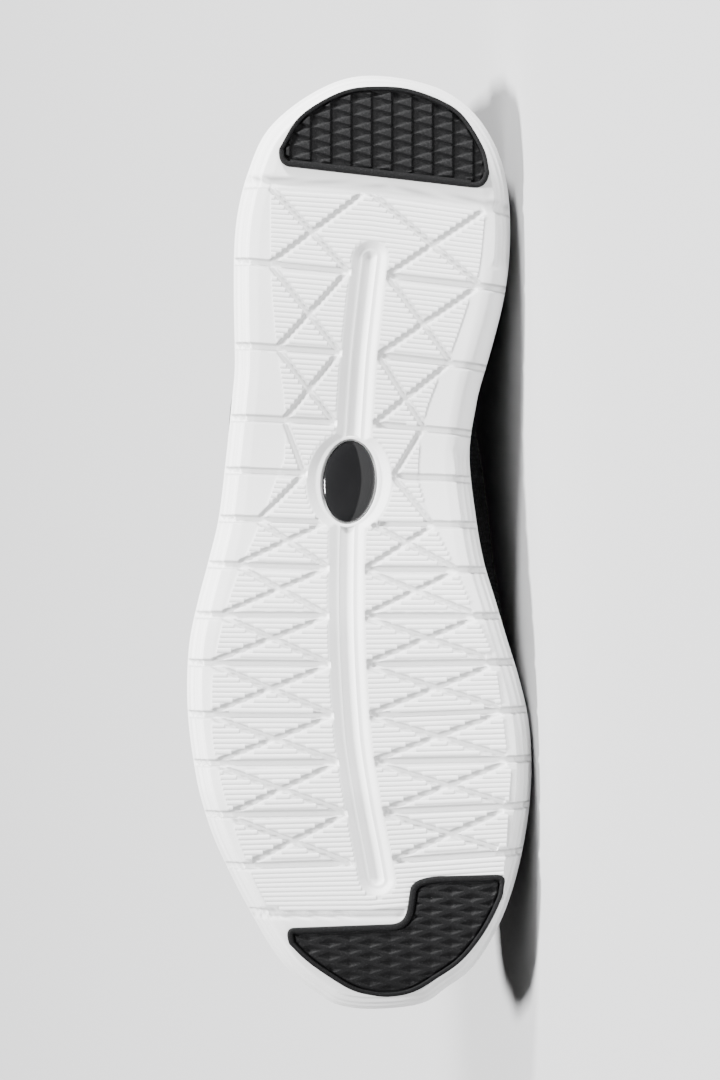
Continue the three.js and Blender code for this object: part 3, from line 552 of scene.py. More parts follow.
def side_points(angle, smooth_share):
    """Points of the side for each row: from the field up to the rim, then the cup."""
    profile = stepped_side + (smooth_side - stepped_side) * smooth_share[:, None, None]
    inset, rise = profile[..., 0], profile[..., 1]
    wide = np.broadcast_to(angle[:, None], inset.shape)
    plan, inward = outline(wide, inset)
    bottom = underside(plan[..., 0])
    cut = groove_cut(plan[..., 0], plan[..., 1], grooves) * ramp(rise / rim_height, 1.0, 0.84)
    plan = plan + inward * (cut * 0.85 * ramp(rise, 0, 1.0))[..., None]
    height = bottom + rise + band_drop * ramp(rise, 1.0, 0) + cut * ramp(rise, 6.0, 0)
    lower = raised(plan, height)
    upper = []
    for inset, share, lift in cup_section:
        plan = outline(angle, np.full(len(angle), inset))[0]
        bed = footbed(plan[..., 0])
        low = underside(plan[..., 0]) + rim_height if inset < cup_wall else bed
        level = low + (bed + cup_depth - low) * share + lift
        upper.append(raised(plan, level)[:, None])
    return np.concatenate([lower] + upper, 1)


lateral_smooth = np.zeros(row_count)
medial_smooth = ramp(row_places[:, 2], 52, 56) * ramp(row_places[:, 2], 110, 104)
lateral_side = side_points(lateral_angle, lateral_smooth)
medial_side = side_points(medial_angle, medial_smooth)

lateral_corner = lateral_side[:, 0, :2]
medial_corner = medial_side[:, 0, :2]
half_way = (lateral_corner + medial_corner) / 2
room = np.clip(np.linalg.norm(lateral_corner - medial_corner, axis=1) / 40, 0, 1)
spine_places = row_places[:, 1]
spine_line = np.column_stack([spine_places, channel_middle(spine_places)])
spine_line = half_way + (spine_line - half_way) * ramp(room, 0, 1)[:, None]
spine_marks = np.array([5.2, 4.7, 4.15, 3.6, 3.2, 3.0, 2.6, 2.2, 2.05, 1.85, 1.5, 1.0, 0.5])
spine_marks = np.concatenate([spine_marks, [0], -spine_marks[::-1]])
spine_points = spine_line[:, None] + spine_marks[:, None] * np.array([0, 1]) * room[:, None, None]
columns = np.linspace(0, 1, 86)[1:-1, None]
spine_first, spine_last = spine_points[:, :1], spine_points[:, -1:]
lateral_points = lateral_corner[:, None] + (spine_first - lateral_corner[:, None]) * columns
medial_points = spine_last + (medial_corner[:, None] - spine_last) * columns
field = np.concatenate([lateral_points, spine_points, medial_points], 1)
field = raised(field, underside(field[..., 0]) + relief(field[..., 0], field[..., 1]))
inside = np.linspace(0, 1, 8)[1:-1]
inner_lateral, inner_medial = lateral_side[:, -1], medial_side[:, -1]
bed = inner_medial[:, None] + (inner_lateral - inner_medial)[:, None] * inside[:, None]
sole_points = np.concatenate([lateral_side[:, ::-1], field, medial_side, bed], 1)
field_start = lateral_side.shape[1]
field_end = field_start + field.shape[1]
# The grooves' walls get painted shade: grey in the foam's colour where they fall into shade.
sole_painted_shade = np.zeros(sole_points.shape[:2])
field_painted_shade = groove_painted_shade(field[..., 0], field[..., 1], grooves + crosses)
sole_painted_shade[:, field_start:field_end] = field_painted_shade * clear_of_channel(field[..., 0], field[..., 1])
for first, side_rows in ((0, lateral_side[:, ::-1]), (field_end, medial_side)):
    low = side_rows[..., 2] < underside(side_rows[..., 0]) + rim_height
    painted_shade = groove_painted_shade(side_rows[..., 0], side_rows[..., 1], grooves) * low
    sole_painted_shade[:, first:first + side_rows.shape[1]] = painted_shade


def place_node(tree, kind, values=None, **settings):
    """Places a node and gives its outputs. A value for an input is a number or an output to link."""
    made = tree.nodes.new(kind)
    for key, value in settings.items():
        setattr(made, key, value)
    for key, value in (values or {}).items():
        if isinstance(value, bpy.types.NodeSocket):
            tree.links.new(value, made.inputs[key])
        else:
            made.inputs[key].default_value = value
    return made.outputs


def shader_group(name, inputs, outputs):
    """A node group with number inputs and outputs, and a vector to lay its pattern by."""
    tree = bpy.data.node_groups.new(name, "ShaderNodeTree")
    tree.interface.new_socket("Vector", in_out="INPUT", socket_type="NodeSocketVector")
    for label, value in inputs.items():
        socket = tree.interface.new_socket(label, in_out="INPUT", socket_type="NodeSocketFloat")
        socket.default_value = value
    for label in outputs:
        tree.interface.new_socket(label, in_out="OUTPUT", socket_type="NodeSocketFloat")
    return tree, place_node(tree, "NodeGroupInput")


# Grain of moulded and coated faces: fine pimples, and slow patches that a hand would leave. The tops of
# the pimples also give a mask for painted glints.
grain_group, grain_in = shader_group(
    "moulded_grain", {"Pimples": 900.0, "Patches": 30.0}, ("Height", "PaintedGlint", "Patch")
)
pimples = place_node(grain_group, "ShaderNodeTexNoise", {
    "Vector": grain_in["Vector"], "Scale": grain_in["Pimples"], "Detail": 3.0, "Roughness": 0.6,
})
patches = place_node(grain_group, "ShaderNodeTexNoise", {
    "Vector": grain_in["Vector"], "Scale": grain_in["Patches"], "Detail": 2.0, "Roughness": 0.5,
})
painted_glints = place_node(grain_group, "ShaderNodeMapRange", {
    "Value": pimples["Fac"], "From Min": 0.55, "From Max": 0.75,
})
place_node(grain_group, "NodeGroupOutput", {
    "Height": pimples["Fac"], "PaintedGlint": painted_glints["Result"], "Patch": patches["Fac"],
})


def finish(name, dark, light, rough, group, scales, masks, bump, specular, sheen=0, place="Object"):
    """A material between two colours and two roughnesses, with a pattern group for its relief.

    masks names the group's outputs that drive colour and roughness, and bump is the height of
    its relief in millimetres."""
    material = bpy.data.materials.new(name)
    material.use_nodes = True
    tree = material.node_tree
    spot = place_node(tree, "ShaderNodeTexCoord")[place]
    pattern = place_node(tree, "ShaderNodeGroup", {"Vector": spot, **scales}, node_tree=group)
    colour = place_node(tree, "ShaderNodeMix", {
        "Factor": pattern[masks[0]], "A": (*dark, 1), "B": (*light, 1),
    }, data_type="RGBA")
    gloss = place_node(tree, "ShaderNodeMapRange", {
        "Value": pattern[masks[1]], "To Min": rough[0], "To Max": rough[1],
    })
    bumps = place_node(tree, "ShaderNodeBump", {
        "Height": pattern["Height"], "Strength": 1.0, "Distance": bump * 0.001,
    })
    shader = tree.nodes["Principled BSDF"].inputs
    tree.links.new(colour["Result"], shader["Base Color"])
    tree.links.new(gloss["Result"], shader["Roughness"])
    tree.links.new(bumps["Normal"], shader["Normal"])
    shader["Specular IOR Level"].default_value = specular
    shader["Sheen Weight"].default_value = sheen
    return material


foam = finish(
    "white_foam", (0.80, 0.80, 0.795), (0.86, 0.86, 0.86), (0.42, 0.52), grain_group,
    {"Pimples": 1400.0, "Patches": 45.0}, ("Patch", "Patch"), 0.02, 0.35,
)

# Painted shade: grey mixed into the foam on the walls of the grooves, by an amount read from the mesh,
# to stand in for their shade.
foam_colour = foam.node_tree.nodes["Principled BSDF"].inputs["Base Color"]
painted_shade_at = place_node(foam.node_tree, "ShaderNodeAttribute", attribute_name="painted_shade")
painted_shade_mix = place_node(foam.node_tree, "ShaderNodeMix", {
    "Factor": painted_shade_at["Fac"], "A": foam_colour.links[0].from_socket, "B": (0.52, 0.52, 0.52, 1),
}, data_type="RGBA")
foam.node_tree.links.new(painted_shade_mix["Result"], foam_colour)


def close_ends(piece):
    """Closes every open ring of an object with one face."""
    shape = bmesh.new()
    shape.from_mesh(piece.data)
    bmesh.ops.holes_fill(shape, edges=[edge for edge in shape.edges if edge.is_boundary], sides=0)
    bmesh.ops.recalc_face_normals(shape, faces=shape.faces)
    shape.to_mesh(piece.data)
    shape.free()


# The mesh is made in three stretches, which meet at the bottoms of two cross grooves.
stretch_names = ("sole_rear", "sole_middle", "sole_front")
for name, first, last in zip(stretch_names, split_rows, split_rows[1:]):
    rows = sole_points[first:last + 1]
    faces = sheet_faces(*rows.shape[:2], closed=True)
    stretch = mesh_object(name, rows, faces, [foam], painted_shade=sole_painted_shade[first:last + 1])
    close_ends(stretch)
    stretch.data.set_sharp_from_angle(angle=np.radians(sole_sharp_angle))
    declare(stretch, "foam", "sole_unit")


# Ribs of the sole
# Fine ribs moulded across each bay, in one piece with the foam. They stop short of every
# groove and of the channel, and end in a line along the field's edge.
rib_lines = []
rib_width, shortest_rib, rib_clearance = 1.3, 0.9, 0.08
rib_step, rib_reach = 0.25, 46
for place in np.arange(groove_rows[0][1] + 2.6, groove_rows[-1][1] - 1.2, rib_pitch):
    bay = np.searchsorted(groove_rows[:, 1], place) - 1
    share = (place - groove_rows[bay][1]) / (groove_rows[bay + 1][1] - groove_rows[bay][1])
    ends = groove_rows[bay] + (groove_rows[bay + 1] - groove_rows[bay]) * share
    y = np.arange(-rib_reach, rib_reach, rib_step)
    x = ends[1] + np.where(y > 0, ends[0] - ends[1], ends[2] - ends[1]) * slant(y)
    clear = in_field(x, y)
    clear = np.minimum(clear, from_channel(x, y) - channel_edge - 0.25)
    clear = np.minimum(clear, oval(x, y, ring_outer) - 0.25)
    for start, end, half, _ in grooves + crosses:
        clear = np.minimum(clear, from_segment(x, y, start, end) - half - rib_clearance)
    open_run = clear > 0
    edges = np.flatnonzero(np.diff(open_run.astype(int)))
    for first, last in zip(edges[::2], edges[1::2]):
        first_share = clear[first] / (clear[first] - clear[first + 1])
        last_share = clear[last] / (clear[last] - clear[last + 1])
        y0, y1 = y[first] + rib_step * first_share, y[last] + rib_step * last_share
        if y1 - y0 > shortest_rib:
            for part in ((y0, y1),) if y0 * y1 >= 0 else ((y0, 0), (0, y1)):
                rib_lines.append([(np.interp(value, y, x), value) for value in part])
rib_lines = np.array(rib_lines)
rib_points = raised(rib_lines, underside(rib_lines[..., 0]) + rib_height).reshape(-1, 3)
rib_edges = np.arange(len(rib_points)).reshape(-1, 2).tolist()


def new_tree(name, **inputs):
    """A geometry node tree with named inputs, of which the material is the last."""
    tree = bpy.data.node_groups.new(name, "GeometryNodeTree")
    tree.interface.new_socket("Geometry", in_out="OUTPUT", socket_type="NodeSocketGeometry")
    for label, kind in {"Geometry": "Geometry", **inputs, "Material": "Material"}.items():
        tree.interface.new_socket(label, in_out="INPUT", socket_type="NodeSocket" + kind)
    return tree, place_node(tree, "NodeGroupInput")


def end_tree(tree, inputs, geometry):
    """Makes what a tree has laid into real mesh and gives it the material."""
    real = place_node(tree, "GeometryNodeRealizeInstances", {"Geometry": geometry})
    painted = place_node(tree, "GeometryNodeSetMaterial", {
        "Geometry": real["Geometry"], "Material": inputs["Material"],
    })
    place_node(tree, "NodeGroupOutput", {"Geometry": painted["Geometry"]})


def grown_piece(name, points, edges, tree, values, smooth_angle=None, facing=None):
    """The plain mesh that a tree makes from points and edges in shoe coordinates."""
    mesh = bpy.data.meshes.new(name)
    mesh.from_pydata(np.asarray(points).tolist(), edges, [])
    if facing is not None:
        directions = mesh.attributes.new("facing", "FLOAT_VECTOR", "POINT")
        directions.data.foreach_set("vector", np.ravel(facing))
    piece = add_object(name, mesh)
    modifier = piece.modifiers.new(tree.name, "NODES")
    modifier.node_group = tree
    for item in tree.interface.items_tree:
        if item.item_type == "SOCKET" and item.in_out == "INPUT" and item.name in values:
            modifier[item.identifier] = values[item.name]
    graph = bpy.context.evaluated_depsgraph_get()
    plain = bpy.data.meshes.new_from_object(piece.evaluated_get(graph))
    piece.modifiers.clear()
    piece.data = plain
    plain.transform(shoe_to_floor)
    tidy_mesh(plain, smooth_angle)
    return piece


rib_tree, rib_in = new_tree("rib_sweep", Width="Float", Height="Float")
rib_curve = place_node(rib_tree, "GeometryNodeMeshToCurve", {"Mesh": rib_in["Geometry"]})
rib_level = place_node(
    rib_tree, "GeometryNodeSetCurveNormal", {"Curve": rib_curve["Curve"]}, mode="Z_UP"
)
rib_double = place_node(rib_tree, "ShaderNodeMath", {0: rib_in["Height"], 1: 2}, operation="MULTIPLY")
rib_scale = place_node(rib_tree, "ShaderNodeCombineXYZ", {
    "X": rib_in["Width"], "Y": rib_double["Value"],
})
rib_ring = place_node(rib_tree, "GeometryNodeCurvePrimitiveCircle", {"Resolution": 10, "Radius": 0.5})
rib_section = place_node(rib_tree, "GeometryNodeTransform", {
    "Geometry": rib_ring["Curve"], "Scale": rib_scale["Vector"],
})
rib_sweep = place_node(rib_tree, "GeometryNodeCurveToMesh", {
    "Curve": rib_level["Curve"], "Profile Curve": rib_section["Geometry"], "Fill Caps": True,
})
end_tree(rib_tree, rib_in, rib_sweep["Mesh"])
rib_values = {"Width": rib_width, "Height": rib_height, "Material": foam}
ribs = grown_piece("ribs", rib_points, rib_edges, rib_tree, rib_values, 50)
declare(ribs, "foam", "sole_unit")


# Heel pad
# A black rubber pad let into the foam: a raised rim round a tread of wedges in columns, each
# rising towards the inner side and cut off square.
heel_arc = np.array([
    [21.4, 25.5], [13.4, 20.7], [8.4, 14.3], [4.8, 6.4], [3.9, -1.4], [4.5, -10.4], [7.8, -19.9],
    [12.3, -26.3], [21.3, -31.9], [28.0, -33.5],
])


def spline(points, count):
    """A smooth run through points, evenly divided."""
    full = np.vstack([2 * points[0] - points[1], points, 2 * points[-1] - points[-2]])
    fine = []
    for a, b, c, d in zip(full, full[1:], full[2:], full[3:]):
        for s in np.linspace(0, 1, 24, endpoint=False):
            fine.append(0.5 * (2 * b + (c - a) * s + (2 * a - 5 * b + 4 * c - d) * s**2
                               + (3 * b - a - 3 * c + d) * s**3))
    return even_path(np.array(fine + [points[-1]]), count)


def run_along(path):
    return np.concatenate([[0], np.cumsum(np.linalg.norm(np.diff(path, axis=0), axis=1))])


def even_path(path, count):
    run = run_along(path)
    at = np.linspace(0, run[-1], count)
    return np.column_stack([np.interp(at, run, path[:, k]) for k in range(path.shape[1])])


def corner(start, control, end, count=10):
    s = np.linspace(0, 1, count)[:, None]
    start, control, end = (np.array(value) for value in (start, control, end))
    return (1 - s) ** 2 * start + 2 * s * (1 - s) * control + s**2 * end


def pad_loop(parts, spacing=0.45):
    """Joins runs of an outline, each with its rim width, into one evenly divided loop."""
    path = np.vstack([np.column_stack([run, np.full(len(run), rim)]) for run, rim in parts])
    path = np.vstack([path, path[:1]])
    length = run_along(path[:, :2])[-1]
    return even_path(path, int(length / spacing))[:-1]


def loop_inward(loop):
    run = unit(np.roll(loop[:, :2], -2, axis=0) - np.roll(loop[:, :2], 2, axis=0))
    inward = np.column_stack([run[:, 1], -run[:, 0]])
    area = np.sum(loop[:, 0] * np.roll(loop[:, 1], -1) - loop[:, 1] * np.roll(loop[:, 0], -1))
    return inward if area < 0 else -inward


# Section of a pad's rim. Columns: inset in shares of the rim's width, depth below its top.
rim_section = np.array([
    [-0.02, 2.4], [0.00, 0.50], [0.07, 0.16], [0.24, 0.0], [0.72, 0.0], [0.90, 0.10], [1.0, 0.35],
    [1.04, 0.9], [1.10, 2.2],
])


def distance_to_loop(x, y, loop):
    """Distance to a closed loop, positive inside."""
    best = np.full(x.shape, 1e9)
    turns = np.zeros(x.shape, bool)
    for (x0, y0), (x1, y1) in zip(loop, np.roll(loop, -1, axis=0)):
        best = np.minimum(best, from_segment(x, y, (x0, y0), (x1, y1)))
        crosses_line = (y0 > y) != (y1 > y)
        at = x0 + (y - y0) * (x1 - x0) / (y1 - y0 if y1 != y0 else 1e-9)
        turns ^= crosses_line & (x < at)
    return np.where(turns, best, -best)


def pad_piece(name, node, loop, tread, lines):
    """A rubber pad from its outline with rim widths, the depth of its tread and its mesh lines."""
    inward = loop_inward(loop)
    rings = []
    for inset, depth in rim_section:
        plan = loop[:, :2] + inward * (inset * loop[:, 2:])
        level = underside(plan[:, 0]) - pad_proud + depth
        rings.append(np.column_stack([plan, level]))
    points = np.concatenate(rings)
    faces = sheet_faces(len(rings), len(loop), closed=True)
    inner = loop[:, :2] + inward * loop[:, 2:]
    low, high = loop[:, :2].min(0), loop[:, :2].max(0)
    x, y = np.meshgrid(*lines(low, high), indexing="ij")
    away = distance_to_loop(x, y, inner[::3])
    grid = np.stack([x, y, underside(x) - pad_proud + tread(x, y, away)], -1).reshape(-1, 3)
    quads = sheet_faces(*x.shape)
    kept = away.reshape(-1)[quads].max(1) > -0.25
    order = np.vstack([faces, quads[kept] + len(points)])
    declare(mesh_object(name, np.vstack([points, grid]), order, [pad_rubber], 35), "pad_rubber", node)


heel_curve = spline(heel_arc, 120)
heel_loop = pad_loop([
    (heel_curve, 1.15),
    (corner(heel_arc[-1], (33.0, -32.8), (32.2, -28.1)), 1.5),
    (np.array([(32.2, -28.1), (26.4, 22.8)]), 2.0),
    (corner((26.4, 22.8), (25.6, 26.0), heel_arc[0]), 1.5),
])
wedge_columns = 5.7
wedge_rows = 3.4
wedge_start = 16.5
tread_drop, wedge_rise = 1.15, 0.95


def heel_tread(x, y, away):
    """Wedges rise from left to right in each column and end in a square wall."""
    column = np.floor((wedge_start - y) / wedge_columns)
    share = (wedge_start - y) / wedge_columns - column
    shift = np.where(column % 2 == 0, 0, 0.5)
    across = np.abs(((x / wedge_rows + shift) % 1) * 2 - 1)
    rise = wedge_rise * (0.3 + 0.7 * share) * ramp(share * 1.08 - across, 0, 0.3)
    rise = rise * ramp(share, 1.0, 0.97)
    return tread_drop - rise * ramp(away, 0.15, 0.6)


def heel_lines(low, high):
    x_lines = np.arange(low[0] - 0.2, high[0] + 0.2, wedge_rows / 10)
    edges = wedge_start - wedge_columns * np.arange(-3, 9)
    inside_marks = np.concatenate([[0.004, 0.03], np.linspace(0.08, 0.99, 15)])
    y_lines = np.sort(np.concatenate([edge - wedge_columns * inside_marks for edge in edges]))
    return x_lines, y_lines[(y_lines > low[1] - 0.3) & (y_lines < high[1] + 0.3)]


# The rubber's lighter specks on the tops of its pimples are painted glints; it is also glossier there.
pad_rubber = finish(
    "black_rubber", (0.003, 0.003, 0.0033), (0.018, 0.018, 0.019), (0.68, 0.5), grain_group,
    {"Pimples": 2600.0, "Patches": 60.0}, ("PaintedGlint", "PaintedGlint"), 0.12, 0.17,
)
pad_piece("heel_rubber", "heel_pad", heel_loop, heel_tread, heel_lines)


# Toe pad
# The same rubber under the toes, with a broad foot up the inner side. Its tread is flat and
# sunk with long pointed pits in staggered rows; a groove runs inside the rim.
toe_arc = np.array([
    [227.6, -37.7], [232.1, -36.7], [241.0, -32.2], [249.0, -26.0], [254.2, -19.0], [258.2, -12.3],
    [259.6, -5.6], [259.0, 0.6], [257.3, 5.9], [253.1, 12.6], [248.9, 18.2], [244.4, 22.7],
])
toe_loop = pad_loop([
    (spline(toe_arc, 150), 1.25),
    (corner(toe_arc[-1], (239.7, 24.4), (239.8, 20.9)), 1.5),
    (np.array([(239.8, 20.9), (238.8, -5.8)]), 1.75),
    (corner((238.8, -5.8), (238.7, -9.7), (234.7, -10.4)), 1.75),
    (np.array([(234.7, -10.4), (229.2, -11.2)]), 1.75),
    (corner((229.2, -11.2), (225.6, -11.7), (225.2, -19.4)), 1.75),
    (np.array([(225.2, -19.4), (224.8, -34.4)]), 1.75),
    (corner((224.8, -34.4), (224.5, -38.6), toe_arc[0]), 1.5),
])
pit_columns, pit_rows = 5.7, 3.7
pit_half = (3.65, 1.3)
toe_tread_drop, pit_depth, rim_groove_depth = 0.45, 0.8, 0.5


def toe_tread(x, y, away):
    """Long pits in staggered rows, clear of the groove inside the rim."""
    depth = np.zeros_like(x)
    for shift in (0, 0.5):
        dx = ((x / pit_rows + shift) % 1 - 0.5) * pit_rows
        dy = ((y / (2 * pit_columns) + shift) % 1 - 0.5) * 2 * pit_columns
        depth = np.maximum(depth, 1 - np.abs(dy) / pit_half[0] - np.abs(dx) / pit_half[1])
    pits = pit_depth * np.clip(depth, 0, 1) ** 0.8 * ramp(away, 0.4, 0.9)
    return toe_tread_drop + pits + rim_groove_depth * ramp(away, 0.75, 0.35)


def toe_lines(low, high):
    return np.arange(low[0] - 0.2, high[0] + 0.2, 0.23), np.arange(low[1] - 0.3, high[1] + 0.3, 0.3)


pad_piece("toe_rubber", "toe_pad", toe_loop, toe_tread, toe_lines)


# Badge
# A domed oval of glossy black plastic, pressed into a seat in the widened channel. The seat
# is part of the white foam.


def oval_rings(rows, count=96):
    """Rings round the badge. Columns: half length, half width, depth below the underside."""
    turn = np.linspace(0, 2 * np.pi, count, endpoint=False)
    cos, sin = np.cos(badge_turn), np.sin(badge_turn)
    rings = []
    for along, across, depth in rows:
        a, b = along * np.cos(turn), across * np.sin(turn)
        x = badge_middle[0] + cos * a - sin * b
        y = badge_middle[1] + sin * a + cos * b
        rings.append(np.column_stack([x, y, underside(x) + depth]))
    return np.concatenate(rings), sheet_faces(len(rows), count, closed=True)


seat_rows = [
    (12.9, 9.3, ledge_depth + 0.4), (12.7, 9.1, ledge_depth - 0.02), (12.2, 8.35, ledge_depth - 0.04),
    (12.05, 8.1, ledge_depth + 0.02), (11.98, 8.0, ledge_depth + 0.25), (11.9, 7.9, ledge_depth + 1.6),
    (6, 4, ledge_depth + 1.7),
]
seat = mesh_object("badge_seat", *oval_rings(seat_rows), [foam], 40)
declare(seat, "foam", "sole_unit")

badge_rise = 1.5
badge_base = ledge_depth + 0.9
badge_rows = [(*badge_half, badge_base + 0.7), (*badge_half, badge_base)]
for angle in np.radians([8, 18, 30, 42, 54, 64, 73, 81, 87]):
    wide = np.cos(angle) ** 0.8
    depth = badge_base - badge_rise * np.sin(angle) ** 1.15
    badge_rows.append((badge_half[0] * wide, badge_half[1] * wide, depth))
badge_points, badge_faces = oval_rings(badge_rows)
badge_gloss = finish(
    "black_gloss", (0.006, 0.006, 0.0065), (0.011, 0.011, 0.0115), (0.06, 0.1), grain_group,
    {"Pimples": 700.0, "Patches": 90.0}, ("Patch", "Patch"), 0.0015, 0.28,
)
badge = mesh_object("badge_oval", badge_points, badge_faces, [badge_gloss])
close_ends(badge)
badge.data.shade_smooth()
declare(badge, "badge_gloss", "badge")


# Insole
# A foam insole topped with brushed cloth, cut to the cup and laid loose on the footbed. Its
# edge is rounded by wear and it is softly dished under the heel.
fit = 0.3
upper_wall = 2
insole_thickness = 4
insole_inset = cup_wall + 2 * fit + upper_wall
insole_angles = np.linspace(0, np.pi, 121)
insole_lateral, insole_medial = (
    outline(side * insole_angles, np.full(121, insole_inset))[0] for side in (1, -1)
)
across = np.linspace(0, 1, 49)
insole_plan = insole_lateral[:, None] + (insole_medial - insole_lateral)[:, None] * across[:, None]
edge_room = np.linalg.norm(insole_lateral - insole_medial, axis=1)[:, None] / 2
edge_away = edge_room * (1 - np.abs(2 * across - 1))
from_heel = insole_plan[..., 0] - insole_plan[0, 0, 0]
end_away = np.minimum(from_heel, insole_plan[-1, 0, 0] - insole_plan[..., 0])
edge_away = np.minimum(edge_away, end_away)
roll = np.sqrt(np.clip(1 - (1 - np.clip(edge_away / 3.5, 0, 1)) ** 2, 0, 1))
heel_dish = 0.7 * np.exp(-((insole_plan[..., 0] - 42) / 24) ** 2 - (insole_plan[..., 1] / 20) ** 2)
insole_level = footbed(insole_plan[..., 0]) + fit
insole_top = insole_level + insole_thickness * (0.35 + 0.65 * roll) - heel_dish
insole_under = raised(insole_plan, insole_level)[:, ::-1]
insole_rings = np.concatenate([raised(insole_plan, insole_top), insole_under], 1)
insole_faces = sheet_faces(len(insole_angles), insole_rings.shape[1], closed=True)

# Cloth and knit are drawn by their own flat places, in millimetres.
weave_group, weave_in = shader_group(
    "knit_loops", {"Columns": 0.9, "Rows": 1.2, "Slant": 1.2, "Fuzz": 1.2}, ("Height", "PaintedHoleShade", "Patch")
)


def weave_math(operation, *values):
    """The result of one sum on outputs and numbers."""
    inputs = dict(enumerate(values))
    return place_node(weave_group, "ShaderNodeMath", inputs, operation=operation)["Value"]


def weave_range(value, low, high):
    inputs = {"Value": value, "From Min": low, "From Max": high}
    return place_node(weave_group, "ShaderNodeMapRange", inputs)["Result"]


split = place_node(weave_group, "ShaderNodeSeparateXYZ", {"Vector": weave_in["Vector"]})
column_share = weave_math("FRACT", weave_math("MULTIPLY", split["X"], weave_in["Columns"]))
column_side = weave_math("ABSOLUTE", weave_math("SUBTRACT", column_share, 0.5))
slanted = weave_math("MULTIPLY", column_side, weave_in["Slant"])
rows_at = weave_math("MULTIPLY_ADD", split["Y"], weave_in["Rows"], slanted)
wave = weave_math("SINE", weave_math("MULTIPLY", rows_at, 6.2832))
loop_height = weave_math("MULTIPLY_ADD", wave, 0.5, 0.5)
loop_yarn = weave_math("MULTIPLY", loop_height, weave_range(column_side, 0.5, 0.05))
fuzz = place_node(weave_group, "ShaderNodeTexNoise", {
    "Vector": weave_in["Vector"], "Scale": weave_math("MULTIPLY", weave_in["Fuzz"], 3.0), "Detail": 2.0,
})
slow = place_node(weave_group, "ShaderNodeTexNoise", {
    "Vector": weave_in["Vector"], "Scale": 0.06, "Detail": 2.0,
})
# The dips and holes between the loops give the mask for painted shade: the cloth's second, darker
# colour.
place_node(weave_group, "NodeGroupOutput", {
    "Height": weave_math("MULTIPLY_ADD", fuzz["Fac"], 0.35, loop_yarn),
    "PaintedHoleShade": weave_range(loop_yarn, 0.35, 0.05), "Patch": slow["Fac"],
})


def cloth_finish(name, dark, light, rough, sizes, bump, specular, sheen=0):
    """A knitted or woven black, laid by the cloth's own places, darker with painted shade in the dips
    between its loops.
    """
    scales = dict(zip(("Columns", "Rows", "Slant", "Fuzz"), sizes))
    masks = ("PaintedHoleShade", "Patch")
    return finish(name, dark, light, rough, weave_group, scales, masks, bump, specular, sheen, "UV")


lining = cloth_finish(
    "black_lining", (0.009, 0.009, 0.01), (0.003, 0.003, 0.0035), (0.85, 0.95),
    (1.6, 1.6, 0.0, 2.2), 0.12, 0.15, 0.06,
)
insole = mesh_object("insole_cloth", insole_rings, insole_faces, [lining], cloth=insole_rings[..., :2])
declare(insole, "lining", "insole")


# Upper
# One knitted sock of black yarn with a lining, about 2 mm thick. Its foot is glued down between
# the cup and the insole, its collar is padded, and its edge is turned over and stitched.
heel_top, ankle_top, throat_top, ridge_top, toe_box_top = 74, 61, 90, 110, 43
heel_lean, heel_lean_end = 6, 0.3
throat_width, throat_start, throat_end, throat_taper = 26, 0.345, 0.665, 0.72
collar_padding, collar_pad_height = 3, 24
crown_rise = 2
edge_roll, stitch_drop = 1.1, 3.2

# Columns: share of the length, ridge in shares of ridge_top, throat_top and toe_box_top, height
# of the fullest line in shares of ankle_top, bulge on the lateral and medial sides and lean of
# the ridge in shares of the width, roundness.
upper_rows = np.array([
    [0.000, 1.00, 0.00, 0.00, 0.18, 0.000, 0.000, 0.000, 1.50],
    [0.150, 1.00, 0.00, 0.00, 0.16, 0.000, 0.000, 0.000, 1.50],
    [0.260, 1.00, 0.00, 0.00, 0.18, 0.020, 0.005, 0.005, 1.55],
    [0.350, 0.60, 0.42, 0.00, 0.22, 0.046, 0.030, 0.015, 1.80],
    [0.410, 0.00, 0.98, 0.00, 0.24, 0.036, 0.076, 0.020, 2.00],
    [0.470, 0.00, 0.86, 0.00, 0.22, 0.012, 0.080, 0.025, 2.00],
    [0.560, 0.00, 0.73, 0.00, 0.18, -0.008, 0.054, 0.030, 2.00],
    [0.650, 0.00, 0.60, 0.06, 0.14, -0.012, 0.010, 0.030, 2.05],
    [0.740, 0.00, 0.28, 0.62, 0.11, -0.006, -0.004, 0.025, 2.15],
    [0.830, 0.00, 0.06, 0.98, 0.10, 0.000, 0.000, 0.020, 2.25],
    [0.900, 0.00, 0.00, 1.00, 0.09, 0.000, 0.000, 0.010, 2.30],
    [0.960, 0.00, 0.00, 0.93, 0.08, 0.000, 0.000, 0.000, 2.30],
    [0.985, 0.00, 0.00, 0.84, 0.06, 0.000, 0.000, 0.000, 2.30],
    [1.000, 0.00, 0.00, 0.70, 0.03, 0.000, 0.000, 0.000, 2.30],
])

# Columns: share of the length, height of the collar in shares of heel_top, ankle_top, throat_top.
collar_rows = np.array([
    [-0.060, 1.05, 0.00, 0.00], [0.010, 1.03, 0.00, 0.00], [0.060, 0.97, 0.00, 0.00],
    [0.120, 0.40, 0.62, 0.00], [0.200, 0.00, 1.00, 0.00], [0.270, 0.00, 1.04, 0.00],
    [0.330, 0.00, 0.40, 0.56], [0.375, 0.00, 0.00, 0.94], [0.410, 0.00, 0.00, 1.08],
])

# Soft creases of worn knit. Columns: place along and across, slant, half width, reach across,
# depth where a minus makes a ridge.
crease_rows = np.array([
    [181, 4, 0.18, 3.4, 20, 0.8], [188, -2, 0.10, 3.0, 22, -0.5], [195, 0, -0.05, 3.6, 24, 0.9],
    [203, 3, -0.12, 3.2, 20, -0.4], [211, -4, -0.10, 4.0, 20, 0.5], [84, 36, 0.35, 4.0, 16, 0.8],
    [74, 36, 0.30, 3.6, 14, -0.5], [88, -36, -0.30, 4.2, 16, 0.8], [60, -32, -0.20, 4.0, 14, 0.5],
])


